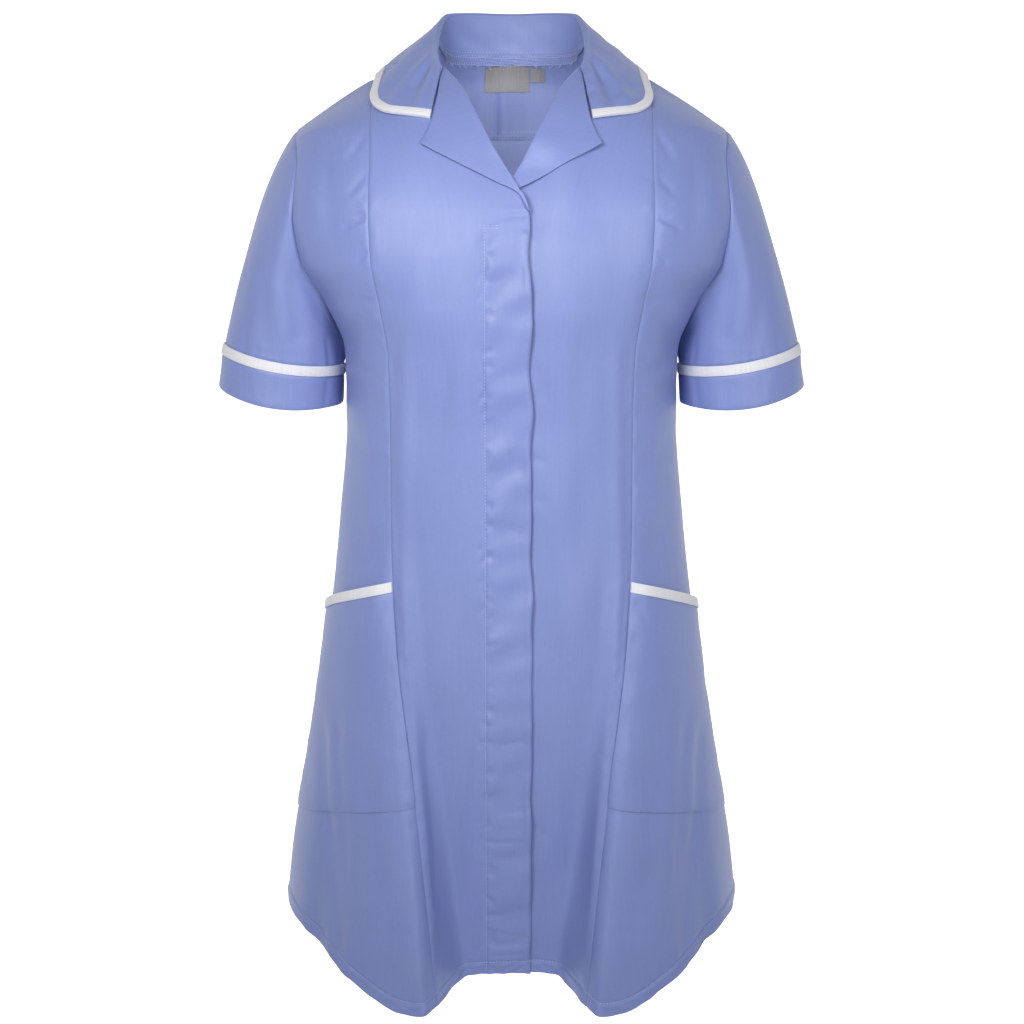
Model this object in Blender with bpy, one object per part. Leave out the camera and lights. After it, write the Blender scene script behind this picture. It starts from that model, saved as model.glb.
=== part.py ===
"""Work tunic with short sleeves, notched collar and pockets, filled out as if worn.

Sizes are in millimetres until a mesh is made. +Z is up, the front faces -Y and the wearer's
right is at -X. The origin is at the middle of the neck, level with the shoulders' neck points.
"""
import math

import bmesh
import bpy
import numpy as np
from mathutils import Vector
from mathutils.bvhtree import BVHTree

MM = 0.001

# Cloth thicknesses and gaps
CLOTH = 1.2
FOLDED_CLOTH = 1.8
COLLAR_CLOTH = 2.0
TAPE_CLOTH = 2.4
LABEL_CLOTH = 1.0
SEAM_GAP = 0.36
LAY_GAP = 0.35
LABEL_LAY = 0.60

# The front form, one row for each level from the hem up. Heights are those on the centre line
# and at the outer edge, which is the side seam up to the underarm and the armhole above it.
# The section is a rounded quarter of the given depth and full width, cut off at the edge.
# Seam is the princess seam's distance from the centre. Recess is how far the centre panel
# sinks behind the round, and drop is how far the hem dips beside the princess seam.
FRONT_COLUMNS = ("height", "edge_height", "depth", "width", "square", "edge", "seam", "recess", "drop")
FRONT_LEVELS = [
    (-785, -748, 181.0, 202.5, 2.00, 202.5, 62.0, 73.0, 13.0),
    (-700, -696, 165.0, 196.5, 2.08, 196.5, 71.5, 49.0, 2.0),
    (-600, -600, 149.0, 178.8, 2.15, 178.8, 83.0, 26.0, 0.0),
    (-500, -500, 135.0, 161.5, 2.22, 161.5, 95.0, 10.0, 0.0),
    (-400, -400, 122.5, 149.8, 2.30, 149.8, 100.0, 2.0, 0.0),
    (-320, -320, 121.0, 143.2, 2.35, 143.2, 100.0, 0.0, 0.0),
    (-258, -262, 126.0, 143.6, 2.40, 143.6, 101.0, 0.0, 0.0),
    (-216, -217, 129.0, 161.0, 2.40, 157.0, 107.0, 0.0, 0.0),
    (-179, -180, 127.0, 187.0, 2.50, 176.0, 113.5, 0.0, 0.0),
    (-142, -143, 121.0, 198.0, 2.50, 181.0, 115.0, 0.0, 0.0),
    (-98, -99, 104.0, 190.0, 2.50, 178.5, 114.5, 0.0, 0.0),
    (-62, -81, 78.0, 185.5, 2.50, 181.5, 115.5, 0.0, 0.0),
    (32, -72, 0.0, 185.5, 2.50, 183.0, 116.0, 0.0, 0.0),
]
# The back form has the same first six columns
BACK_LEVELS = [
    (-785, -748, 134.0, 202.5, 2.10, 202.5),
    (-700, -696, 124.0, 196.5, 2.12, 196.5),
    (-600, -600, 113.0, 178.8, 2.18, 178.8),
    (-500, -500, 101.0, 161.5, 2.25, 161.5),
    (-400, -400, 87.0, 149.8, 2.30, 149.8),
    (-320, -320, 90.0, 143.2, 2.35, 143.2),
    (-258, -262, 101.0, 143.6, 2.40, 143.6),
    (-216, -223, 107.0, 171.0, 2.40, 163.0),
    (-179, -191, 109.0, 197.0, 2.50, 176.0),
    (-142, -161, 109.0, 208.0, 2.50, 181.0),
    (-98, -131, 103.0, 205.0, 2.50, 180.0),
    (-62, -102, 92.0, 192.0, 2.50, 178.5),
    (-30, -83, 78.0, 185.5, 2.50, 181.5),
    (32, -72, 0.0, 185.5, 2.50, 183.0),
]
RECESS_INSIDE = 25.0
RECESS_RUN = 37.0
SHOULDER_SEAM_BACK = 18.0
SHOULDER_TIP_BACK = 0.0
SHOULDER_BLEND = 40.0
SHOULDER_ARCH = 5.2

# The hem rises to the side seam over this stretch of the way from centre to edge
HEM_CURVE_TOP = -500
HEM_CURVE_START = 0.30
HEM_CURVE_RUN = 0.52

# The largest folds: which form, share of the way from centre to edge, half width as such a
# share, how far it stands out at the hem, and the height where it dies out.
# Columns: form, place, spread, depth, top
FOLDS = [
    ("front", 0.62, 0.050, -4.0, -600),
    ("front", 0.48, 0.045, 2.0, -640),
    ("back", 0.16, 0.090, 9.0, -420),
    ("back", 0.36, 0.090, -8.0, -460),
    ("back", 0.57, 0.090, 8.0, -430),
    ("back", 0.79, 0.075, -6.0, -520),
]

# The front edges: height against distance from the centre line. Above the break the edge is
# the roll line of the lapel, and above that the neck seam.
NECK_POINT = 62.0
ROLL_TOP_HEIGHT = -23.0
FRONT_EDGE = [
    (-800, -16.5), (-300, -16.5), (-142, -14.0), (-128, -9.0), (-115, 0.0), (-89, 16.9),
    (-66, 28.8), (-44, 40.5), (-23, 58.0), (-12, 61.0), (-3, 62.0), (60, 62.0),
]
UNDER_EDGE = [
    (-800, -21.5), (-170, -21.5), (-142, -16.0), (-128, -9.0), (-115, 0.0), (-89, 16.9),
    (-66, 28.8), (-44, 40.5), (-23, 58.0), (-12, 61.0), (-3, 62.0), (60, 62.0),
]
UNDERLAP_DEPTH = 3.3
UNDERLAP_FLAT = 18.0
UNDERLAP_RAMP = 34.0
NECK_UNDERLAP_DEPTH = 5.6
NECK_UNDERLAP_FROM = -168.0
NECK_UNDERLAP_RUN = 28.0
UNDERLAP_TOP = -84.0
UNDERLAP_FADE = 24.0

# The back neck and the yoke's seam
BACK_NECK_HEIGHT = -12.0
NECK_POINT_HEIGHT = -3.2
BACK_NECK_STRAIGHT = 47.0
YOKE_HEIGHT = -77.0
YOKE_EDGE_DROP = 12.0

# Rows of the panels' grids, from the hem up
FRONT_ROWS = [
    -785, -762, -735, -705, -675, -650, -625, -600, -575, -550, -525, -500, -475, -450, -420,
    -380, -340, -300, -275, -258, -237, -216, -197, -179, -160, -150, -142, -134, -125, -116, -107,
    -98, -89, -80, -62, -40, -16, 8, 32,
]
BACK_ROWS = [
    -785, -762, -735, -705, -675, -650, -625, -600, -575, -550, -525, -500, -475, -450, -420,
    -380, -340, -300, -275, -258, -237, -216, -197, -179, -160, -142,
]
ROWS_TO_YOKE = 3
YOKE_ROWS = 7
CENTRE_COLUMNS = 7
SIDE_COLUMNS = 9
BACK_HALF_COLUMNS = 11

# Steps across and up the form that its normals are measured over
SHARE_STEP = 0.004
HEIGHT_STEP = 1.0

# Sleeve: rings of the seam, the tape and the hem. Inner and outer are distances from the
# centre line, with the height there, and reach is the half depth from front to back.
# Columns: inner, inner_height, outer, outer_height, reach, dip
TAPE_TOP_RING = (145.4, -271.0, 248.5, -252.5, 51.5, 4.5)
TAPE_BOTTOM_RING = (145.6, -279.5, 250.8, -261.0, 51.5, 4.5)
CUFF_HEM_RING = (147.0, -305.0, 254.5, -290.0, 51.0, 8.0)
SLEEVE_COLUMNS = 30
SLEEVE_ROWS = 8
SLEEVE_LEAN_TOP = 0.72
SLEEVE_LEAN_BOTTOM = 0.05
SLEEVE_FULLNESS = 0.60
ARMHOLE_CLEARANCE = 3.2

# Collar: a row for each section from the centre back to the gorge. Share is the way along the
# neck seam, then the roll's top and the outer edge as distance from centre, depth and height.
# Columns: share, roll_x, roll_y, roll_z, edge_x, edge_y, edge_z
COLLAR_SECTIONS = [
    (0.00, 0.0, 73.0, 31.5, 0.0, 99.0, -25.0),
    (0.22, 30.0, 70.0, 32.0, 52.0, 93.0, -24.0),
    (0.42, 54.5, 55.0, 30.0, 96.0, 66.0, -19.0),
    (0.55, 61.0, 33.0, 19.0, 112.5, 34.0, -20.0),
    (0.68, 62.5, 10.0, 5.0, 115.5, 2.0, -27.5),
    (0.82, 62.5, -12.0, -7.0, 117.5, -30.0, -43.0),
    (0.90, 61.5, -22.0, -12.0, 114.5, -47.0, -55.5),
    (0.95, 60.5, -29.0, -16.0, 103.0, -62.0, -65.5),
    (1.00, 58.5, -37.0, -20.0, 65.5, -79.0, -67.5),
]
COLLAR_HALF_COLUMNS = 17
COLLAR_CROWDING = 1.7
COLLAR_TAPE_MOST = 0.8
STAND_STEPS = 2
FALL_STEPS = 5
ROLL_STEPS = 4
COLLAR_ROLL_RADIUS = 3.0
COLLAR_LIFT = 3.6
COLLAR_TAPE_WIDTH = 8.0
COLLAR_ARCH = 1.0
STAND_CLEARANCE = 1.9

# Lapel: its four sides as distance from the centre and height
GORGE_SIDE = [(56.8, -25.0), (60.4, -50.5), (63.6, -68.5)]
NOTCH_SIDE = [(63.6, -68.5), (67.5, -79.0), (72.0, -89.0)]
LOWER_SIDE = [
    (-13.5, -140.0), (-5.0, -126.5), (10.0, -119.0), (31.8, -108.5), (55.0, -97.0), (72.0, -89.0),
]
ROLL_SIDE = [
    (56.8, -25.0), (40.5, -44.0), (28.8, -66.0), (16.9, -89.0), (0.0, -115.0), (-9.0, -128.0),
    (-13.5, -140.0),
]
LAPEL_ROWS = 12
LAPEL_COLUMNS = 6
CURL_STEPS = 4
LAPEL_CURL_RADIUS = 2.2
LAPEL_CURL_LEAST = 1.45
CURL_NARROWS_FROM = 0.55
CURL_NARROWS_RUN = 0.25
LAPEL_FALL_RATE = 1.4
LAPEL_EDGE_LIFT = 2.6
LAPEL_CLOTH = 1.3

# Pockets: heights at the princess seam and at the side seam
POCKET_TOP = (-444.0, -482.0)
POCKET_BOTTOM = (-628.0, -667.0)
POCKET_TAPE_WIDTH = 8.5
POCKET_GAPE = 3.4
POCKET_GAPE_EDGE = 22.0
POCKET_LAY = 0.8
POCKET_BREADTH = 170.0
POCKET_GAPE_ENDS = 0.75
POCKET_ROWS = 8

# Labels inside the back neck: left and right edges, top and bottom heights
NECK_LABEL = (-23.5, 16.0, -14.0, -34.5)
SIZE_TAB = (17.5, 30.0, -14.0, -24.5)

# Flat studs between the overlapping fronts
STUD_RADIUS = 6.5
STUD_THICKNESS = 1.3
STUD_PLACE = -3.0
STUD_TOP_HEIGHT = -168.0
STUD_PITCH = 118.0
STUD_COUNT = 5

# Search for the place on the front form that has a wanted distance and height
SEARCH_STEPS = 12
SEARCH_EASING = 0.9
LEAST_SLOPE = 60.0
HIGHEST = 60.0
HALF_CHEST = 185.0

CLOTH_COLOUR = (0.296, 0.366, 0.670, 1.0)
TAPE_COLOUR = (0.82, 0.82, 0.86, 1.0)
LABEL_COLOUR = (0.42, 0.41, 0.40, 1.0)
STUD_COLOUR = (0.62, 0.66, 0.80, 1.0)


# Curves and surfaces

def through(knots, values, at):
    """Smooth curve through values at the knots that never overshoots them, read at given places."""
    knots = np.asarray(knots, float)
    values = np.asarray(values, float)
    at = np.atleast_1d(np.asarray(at, float))
    if values.ndim == 1:
        values = values[:, None] + np.zeros(len(at))
    flat = values.reshape(len(knots), len(at), -1)
    step = np.diff(knots)[:, None, None]
    slope = np.diff(flat, axis=0) / step
    before, after = slope[:-1], slope[1:]
    weight_before = 2 * step[1:] + step[:-1]
    weight_after = step[1:] + 2 * step[:-1]
    same_way = before * after > 0
    safe_before = np.where(same_way, before, 1)
    safe_after = np.where(same_way, after, 1)
    mean = (weight_before + weight_after) / (weight_before / safe_before + weight_after / safe_after)
    tangent = np.empty_like(flat)
    tangent[0] = slope[0]
    tangent[-1] = slope[-1]
    tangent[1:-1] = np.where(same_way, mean, 0)
    span = np.clip(np.searchsorted(knots, at, side="right") - 1, 0, len(knots) - 2)
    column = np.arange(len(at))
    width = (knots[span + 1] - knots[span])[:, None]
    t = ((at - knots[span])[:, None] / width)
    start = flat[span, column]
    end = flat[span + 1, column]
    leave = tangent[span, column] * width
    arrive = tangent[span + 1, column] * width
    inside = (
        start * (2 * t**3 - 3 * t**2 + 1) + leave * (t**3 - 2 * t**2 + t)
        + end * (3 * t**2 - 2 * t**3) + arrive * (t**3 - t**2)
    )
    below = start + leave * t
    above = end + arrive * (t - 1)
    result = np.where(t < 0, below, np.where(t > 1, above, inside))
    return result.reshape((len(at),) + values.shape[2:])


def path_through(points, count=None, shares=None):
    """Points along a smooth curve through the given ones, at shares of its chord length."""
    points = np.asarray(points, float)
    chord = np.concatenate([[0], np.cumsum(np.linalg.norm(np.diff(points, axis=0), axis=1))])
    if shares is None:
        shares = np.linspace(0, 1, count)
    at = np.asarray(shares) * chord[-1]
    return np.stack([through(chord, points[:, k], at) for k in range(points.shape[1])], -1)


def ease(t):
    t = np.clip(t, 0, 1)
    return t * t * (3 - 2 * t)


def column_of(levels, columns, name):
    return np.array([row[columns.index(name)] for row in levels], float)


def level_curves(levels, share, facing):
    """The section at every level, at the given shares of the way from centre to edge."""
    across = np.abs(share)
    curves = []
    for row in levels:
        height, edge_height, depth, width, square, edge = row[:6]
        cut = edge / width
        end = math.atan2(cut, max(1 - cut**square, 0) ** (1 / square))
        sine = np.sin(across * end)
        cosine = np.maximum(np.cos(across * end), 0)
        radius = (sine**square + cosine**square) ** (-1 / square)
        x = width * sine * radius
        y = facing * depth * cosine * radius
        rise = across**2 if height > HEM_CURVE_TOP else ease((across - HEM_CURVE_START) / HEM_CURVE_RUN)
        z = height + (edge_height - height) * rise
        if depth == 0:
            y = SHOULDER_SEAM_BACK + (SHOULDER_TIP_BACK - SHOULDER_SEAM_BACK) * x / edge
            along = np.clip((x - NECK_POINT) / (edge - NECK_POINT), 0, 1)
            z = height + (edge_height - height) * x / edge + SHOULDER_ARCH * np.sin(math.pi * along)
        curves.append(np.stack([x * np.sign(share), y, z], -1))
    return np.array(curves)


def form_points(form, share, height):
    """Points of the front or back form at shares (negative to the wearer's right) and heights."""
    share, height = np.broadcast_arrays(np.asarray(share, float), np.asarray(height, float))
    flat_share = share.ravel()
    flat_height = height.ravel()
    levels = FRONT_LEVELS if form == "front" else BACK_LEVELS
    facing = -1 if form == "front" else 1
    knots = [row[0] for row in levels]
    points = through(knots, level_curves(levels, flat_share, facing), flat_height)
    outward = points * (1, 1, 0)
    outward /= np.linalg.norm(outward, axis=1, keepdims=True) + 1e-9
    for kind, place, spread, depth, top in FOLDS:
        if kind == form:
            strength = depth * ease((top - flat_height) / (top - knots[0]))
            bump = np.exp(-((np.abs(flat_share) - place) / spread) ** 2)
            points += outward * (strength * bump)[:, None]
    if form == "front":
        seam = through(knots, column_of(levels, FRONT_COLUMNS, "seam"), flat_height)
        recess = through(knots, column_of(levels, FRONT_COLUMNS, "recess"), flat_height)
        drop = through(knots, column_of(levels, FRONT_COLUMNS, "drop"), flat_height)
        beyond = np.abs(points[:, 0]) - seam
        points[:, 1] += np.maximum(recess, 0) * (1 - ease((beyond + RECESS_INSIDE) / RECESS_RUN))
        points[:, 2] -= np.maximum(drop, 0) * np.exp(-((beyond - 22) / 40) ** 2)
    return points.reshape(share.shape + (3,))


def own_normals(form, share, height):
    """Outward normals of one form, from steps across and up it."""
    outer, inner = share + SHARE_STEP, share - SHARE_STEP
    across = form_points(form, outer, height) - form_points(form, inner, height)
    above, below = height + HEIGHT_STEP, height - HEIGHT_STEP
    upward = form_points(form, share, above) - form_points(form, share, below)
    normal = np.cross(across, upward) if form == "front" else np.cross(upward, across)
    return normal / np.linalg.norm(normal, axis=-1, keepdims=True)


def form_normals(form, share, height):
    """Outward normals that the front and back forms share along the shoulder seam."""
    share, height = np.broadcast_arrays(np.asarray(share, float), np.asarray(height, float))
    own = own_normals(form, share, height)
    top = FRONT_LEVELS[-1][0]
    shared = own_normals("front", share, top - 0 * height) + own_normals("back", share, top - 0 * height)
    shared /= np.linalg.norm(shared, axis=-1, keepdims=True)
    nearness = ease((height - (top - SHOULDER_BLEND)) / SHOULDER_BLEND)[..., None]
    mixed = own * (1 - nearness) + shared * nearness
    return mixed / np.linalg.norm(mixed, axis=-1, keepdims=True)


def share_at(form, height, wanted):
    """The share at which wanted(x, z) crosses zero, on one row of the form."""
    shares = np.linspace(-0.35, 1.0, 541)
    points = form_points(form, shares, height)
    value = wanted(points[:, 0], points[:, 2])
    rising = np.where((value[:-1] < 0) & (value[1:] >= 0))[0]
    if len(rising) == 0:
        return 1.0
    k = rising[-1]
    part = -value[k] / (value[k + 1] - value[k])
    return shares[k] + part * (shares[k + 1] - shares[k])


def edge_distance(table, z):
    knots = [row[0] for row in table]
    return np.interp(z, knots, [row[1] for row in table])


def seam_share(height, shift):
    """Share of the princess seam on a front row, moved outwards by a shift."""
    knots = [row[0] for row in FRONT_LEVELS]
    place = through(knots, column_of(FRONT_LEVELS, FRONT_COLUMNS, "seam"), [height])[0]
    return share_at("front", height, lambda x, z: x - (place + shift))


def front_edge_share(height, table):
    return share_at("front", height, lambda x, z: x - edge_distance(table, z))


def edge_inset(form, height, inset):
    """The share that lies a small distance in from the form's outer edge."""
    step = form_points(form, 1.0, height) - form_points(form, 0.99, height)
    return 1.0 - inset * 0.01 / np.linalg.norm(step)


# Meshes

def material(name, colour, roughness):
    made = bpy.data.materials.new(name)
    made.use_nodes = True
    shader = made.node_tree.nodes["Principled BSDF"]
    shader.inputs["Base Color"].default_value = colour
    shader.inputs["Roughness"].default_value = roughness
    shader.inputs["Metallic"].default_value = 0.0
    return made


def start_scene():
    for old in list(bpy.data.objects):
        bpy.data.objects.remove(old, do_unlink=True)
    home = bpy.data.collections.new("work_tunic")
    bpy.context.scene.collection.children.link(home)
    return home


def add_piece(home, name, mesh_data, look):
    piece = bpy.data.objects.new(name, mesh_data)
    own_look = look.copy()
    own_look.name = name + "_material"
    mesh_data.materials.append(own_look)
    mesh_data.shade_smooth()
    mesh_data.set_sharp_from_angle(angle=math.radians(50))
    home.objects.link(piece)
    return piece


def wall(home, name, seen, hidden, look, ring=False):
    """A closed cloth wall between its seen face and its hidden face, two grids of points.

    Both faces come from the form's own normals, so neighbours meet at a seam without crossing.
    """
    rows, columns = seen.shape[:2]
    shell = bmesh.new()
    seen_verts = [[shell.verts.new(p * MM) for p in row] for row in seen]
    hidden_verts = [[shell.verts.new(p * MM) for p in row] for row in hidden]
    spans = columns if ring else columns - 1
    for j in range(rows - 1):
        for i in range(spans):
            k = (i + 1) % columns
            a, b = seen_verts[j], seen_verts[j + 1]
            shell.faces.new((a[i], a[k], b[k], b[i]))
            a, b = hidden_verts[j], hidden_verts[j + 1]
            shell.faces.new((a[k], a[i], b[i], b[k]))
    for j in (0, rows - 1):
        for i in range(spans):
            k = (i + 1) % columns
            a, b = seen_verts[j], hidden_verts[j]
            shell.faces.new((a[k], a[i], b[i], b[k]) if j == 0 else (a[i], a[k], b[k], b[i]))
    if not ring:
        for i in (0, columns - 1):
            for j in range(rows - 1):
                a, b = seen_verts, hidden_verts
                low, high = (j, j + 1) if i == 0 else (j + 1, j)
                shell.faces.new((a[low][i], a[high][i], b[high][i], b[low][i]))
    bmesh.ops.recalc_face_normals(shell, faces=shell.faces)
    if shell.calc_volume(signed=True) < 0:
        bmesh.ops.reverse_faces(shell, faces=shell.faces)
    mesh_data = bpy.data.meshes.new(name)
    shell.to_mesh(mesh_data)
    shell.free()
    return add_piece(home, name, mesh_data, look)


def mirrored(points):
    return points * (-1, 1, 1)


# Fronts

def underlap(points):
    """How far the left front sinks, so that it and its lapel pass under the right one."""
    x, z = points[..., 0], points[..., 2]
    at_neck = ease((z - NECK_UNDERLAP_FROM) / NECK_UNDERLAP_RUN)
    depth = UNDERLAP_DEPTH + (NECK_UNDERLAP_DEPTH - UNDERLAP_DEPTH) * at_neck
    below_crossing = ease((UNDERLAP_TOP - z) / UNDERLAP_FADE)
    return (depth * below_crossing * (1 - ease((x - UNDERLAP_FLAT) / UNDERLAP_RAMP)))[..., None]


def front_grid(from_share, to_share, columns):
    shares = []
    for height in FRONT_ROWS:
        shares.append(np.linspace(from_share(height), to_share(height), columns + 1))
    shares = np.array(shares)
    heights = np.array(FRONT_ROWS, float)[:, None] + np.zeros(columns + 1)
    return form_points("front", shares, heights), form_normals("front", shares, heights)


def make_fronts(home, look):
    half = SEAM_GAP / 2
    for side, table in (("right", FRONT_EDGE), ("left", UNDER_EDGE)):
        points, normals = front_grid(
            lambda h: front_edge_share(h, table), lambda h: seam_share(h, -half), CENTRE_COLUMNS)
        if side == "left":
            points = points - normals * underlap(points)
        hidden = points - normals * CLOTH
        if side == "right":
            points, hidden = mirrored(points), mirrored(hidden)
        wall(home, side + "_front", points, hidden, look)
    for side in ("right", "left"):
        points, normals = front_grid(
            lambda h: seam_share(h, half), lambda h: edge_inset("front", h, half), SIDE_COLUMNS)
        hidden = points - normals * CLOTH
        if side == "right":
            points, hidden = mirrored(points), mirrored(hidden)
        wall(home, side + "_side_front", points, hidden, look)


# Back and yoke

def back_neck_height(x):
    """Height of the back neck seam at a distance from the centre."""
    rise = np.clip((np.abs(x) - BACK_NECK_STRAIGHT) / (NECK_POINT - BACK_NECK_STRAIGHT), 0, 1)
    return BACK_NECK_HEIGHT + (NECK_POINT_HEIGHT - BACK_NECK_HEIGHT) * rise**3


def height_where(form, share, wanted):
    """The level at which wanted(x, z) crosses zero, going up one column of the form."""
    heights = np.linspace(-300, 32, 665)
    points = form_points(form, share, heights)
    value = wanted(points[:, 0], points[:, 2])
    rising = np.where((value[:-1] < 0) & (value[1:] >= 0))[0]
    if len(rising) == 0:
        return heights[-1]
    k = rising[0]
    part = -value[k] / (value[k + 1] - value[k])
    return heights[k] + part * (heights[k + 1] - heights[k])


def yoke_seam_height(share, shift):
    seam = YOKE_HEIGHT - YOKE_EDGE_DROP * share**2 + shift
    return height_where("back", share, lambda x, z: z - seam)


def neck_height(share):
    return height_where("back", share, lambda x, z: z - back_neck_height(x))


def make_back(home, look):
    half = SEAM_GAP / 2
    side = np.linspace(0, 1, BACK_HALF_COLUMNS + 1)
    shares = np.concatenate([-side[::-1], side[1:]])
    rows = []
    for height in BACK_ROWS:
        limit = edge_inset("back", height, half)
        rows.append((shares * limit, np.full(len(shares), float(height))))
    limit = edge_inset("back", BACK_ROWS[-1], half)
    top = np.array([yoke_seam_height(s, -half) for s in shares * limit])
    for k in range(1, ROWS_TO_YOKE + 1):
        mixed = BACK_ROWS[-1] + (top - BACK_ROWS[-1]) * k / ROWS_TO_YOKE
        rows.append((shares * limit, mixed))
    grid_shares = np.array([row[0] for row in rows])
    grid_heights = np.array([row[1] for row in rows])
    points = form_points("back", grid_shares, grid_heights)
    normals = form_normals("back", grid_shares, grid_heights)
    wall(home, "back", points, points - normals * CLOTH, look)


def make_yoke(home, look):
    half = SEAM_GAP / 2
    neck_share = share_at("back", 32, lambda x, z: x - NECK_POINT)
    near = np.linspace(0, neck_share, 8)
    far = np.linspace(neck_share, edge_inset("back", 0, half), 7)[1:]
    side = np.concatenate([near, far])
    shares = np.concatenate([-side[::-1], side[1:]])
    low = np.array([yoke_seam_height(abs(s), half) for s in shares])
    high = np.array([neck_height(abs(s)) for s in shares])
    high = np.minimum(high, BACK_LEVELS[-1][0] - SEAM_GAP)
    mix = np.linspace(0, 1, YOKE_ROWS + 1)[:, None]
    heights = low + (high - low) * mix
    grid_shares = shares + np.zeros_like(heights)
    points = form_points("back", grid_shares, heights)
    normals = form_normals("back", grid_shares, heights)
    wall(home, "back_yoke", points, points - normals * CLOTH, look)


# Sleeves

def armhole_ring(count):
    """Armhole edge from the underarm over the shoulder tip and back, and the way clear of it."""
    under = FRONT_LEVELS[6][0]
    front_heights = np.linspace(under, 32, 80)
    back_heights = np.linspace(32, under, 80)
    front = form_points("front", np.ones(80), front_heights)
    back = form_points("back", np.ones(80), back_heights)[1:]
    normals = np.concatenate([
        form_normals("front", np.full(80, 0.995), front_heights),
        form_normals("back", np.full(80, 0.995), back_heights)[1:],
    ])
    ring = np.concatenate([front, back])
    inside = np.concatenate([
        form_points("front", np.full(80, 0.99), front_heights),
        form_points("back", np.full(80, 0.99), back_heights)[1:],
    ])
    outward = ring - inside
    outward /= np.linalg.norm(outward, axis=1, keepdims=True)
    length = np.concatenate([[0], np.cumsum(np.linalg.norm(np.diff(ring, axis=0), axis=1))])
    at = np.linspace(0, length[-1], count, endpoint=False)
    even = np.stack([np.interp(at, length, ring[:, k]) for k in range(3)], -1)
    clear = normals + outward * ARMHOLE_CLEARANCE
    clear = np.stack([np.interp(at, length, clear[:, k]) for k in range(3)], -1)
    return even, clear


def sleeve_ring(ring, count):
    """A ring round the arm, from the body side over the front to the outside and round."""
    inner, inner_height, outer, outer_height, reach, dip = ring
    turn = np.linspace(0, 2 * math.pi, count, endpoint=False)
    middle = (inner + outer) / 2
    x = middle - (outer - inner) / 2 * np.cos(turn)
    y = -reach * np.sin(turn)
    share = (x - inner) / (outer - inner)
    z = inner_height + (outer_height - inner_height) * share - dip * np.sin(turn) ** 2
    return np.stack([x, y, z], -1)


def sleeve_surface(count, rows):
    """Sleeve points from the armhole down to the tape, as rows of rings."""
    start, clear = armhole_ring(count)
    top = start[:, 2].max()
    bottom = start[:, 2].min()
    lift = (start[:, 2] - bottom) / (top - bottom)
    lean = SLEEVE_LEAN_BOTTOM + (SLEEVE_LEAN_TOP - SLEEVE_LEAN_BOTTOM) * lift**0.7
    leave = np.stack([lean, np.zeros(count), -np.sqrt(1 - lean**2)], -1)
    start = start + (leave + clear) * SEAM_GAP
    end = sleeve_ring(TAPE_TOP_RING, count)
    below = sleeve_ring(TAPE_BOTTOM_RING, count)
    arrive = below - end
    arrive /= np.linalg.norm(arrive, axis=1, keepdims=True)
    chord = np.linalg.norm(end - start, axis=1, keepdims=True) * SLEEVE_FULLNESS
    surface = []
    for t in np.linspace(0, 1, rows + 1):
        surface.append(
            start * (2 * t**3 - 3 * t**2 + 1) + leave * chord * (t**3 - 2 * t**2 + t)
            + end * (3 * t**2 - 2 * t**3) + arrive * chord * (t**3 - t**2))
    return np.array(surface)


def ring_normals(surface):
    """Outward normals of rows of rings, outward being away from each ring's middle."""
    around = np.roll(surface, -1, axis=1) - np.roll(surface, 1, axis=1)
    down = np.gradient(surface, axis=0)
    normal = np.cross(around, down)
    normal /= np.linalg.norm(normal, axis=-1, keepdims=True)
    away = surface - surface.mean(axis=1, keepdims=True)
    if np.sum(normal * away) < 0:
        normal = -normal
    return normal


def make_sleeves(home, look, tape_look):
    sleeve = sleeve_surface(SLEEVE_COLUMNS, SLEEVE_ROWS)
    tape_top = sleeve_ring(TAPE_TOP_RING, SLEEVE_COLUMNS)
    tape_bottom = sleeve_ring(TAPE_BOTTOM_RING, SLEEVE_COLUMNS)
    hem = sleeve_ring(CUFF_HEM_RING, SLEEVE_COLUMNS)
    gap = np.array([0, 0, SEAM_GAP])
    tape = np.array([tape_top - gap, tape_bottom])
    cuff = np.array([tape_bottom - gap + (hem - tape_bottom) * t for t in (0, 0.5, 1)])
    pieces = (
        ("_sleeve", sleeve, CLOTH, 0.0, look),
        ("_cuff_tape", tape, TAPE_CLOTH, 0.7, tape_look),
        ("_cuff", cuff, FOLDED_CLOTH, 0.2, look),
    )
    for name, surface, thickness, proud, piece_look in pieces:
        normals = ring_normals(surface)
        seen = surface + normals * proud
        hidden = seen - normals * thickness
        wall(home, "left" + name, seen, hidden, piece_look, ring=True)
        wall(home, "right" + name, mirrored(seen), mirrored(hidden), piece_look, ring=True)


# Form meshes that collar and lapels lie on

def form_tree():
    """One search tree over the front and back forms, fine enough to lay cloth on."""
    verts = []
    faces = []
    for form in ("front", "back"):
        shares = np.linspace(-1, 1, 121)
        heights = np.linspace(-240, 32, 91)
        grid = form_points(form, shares[None, :], heights[:, None])
        base = len(verts)
        verts.extend(Vector(p) for p in grid.reshape(-1, 3))
        for j in range(len(heights) - 1):
            for i in range(len(shares) - 1):
                a = base + j * len(shares) + i
                b = a + len(shares)
                face = (a, a + 1, b + 1, b)
                faces.append(face if form == "front" else face[::-1])
    return BVHTree.FromPolygons(verts, faces)


def lie_on(tree, point, lift):
    """The point moved out to at least a lift above the form."""
    place, normal, _, _ = tree.find_nearest(Vector(point))
    height = (Vector(point) - place).dot(normal)
    if height < lift:
        return np.array(place + normal * lift)
    return np.array(point, float)


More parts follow.
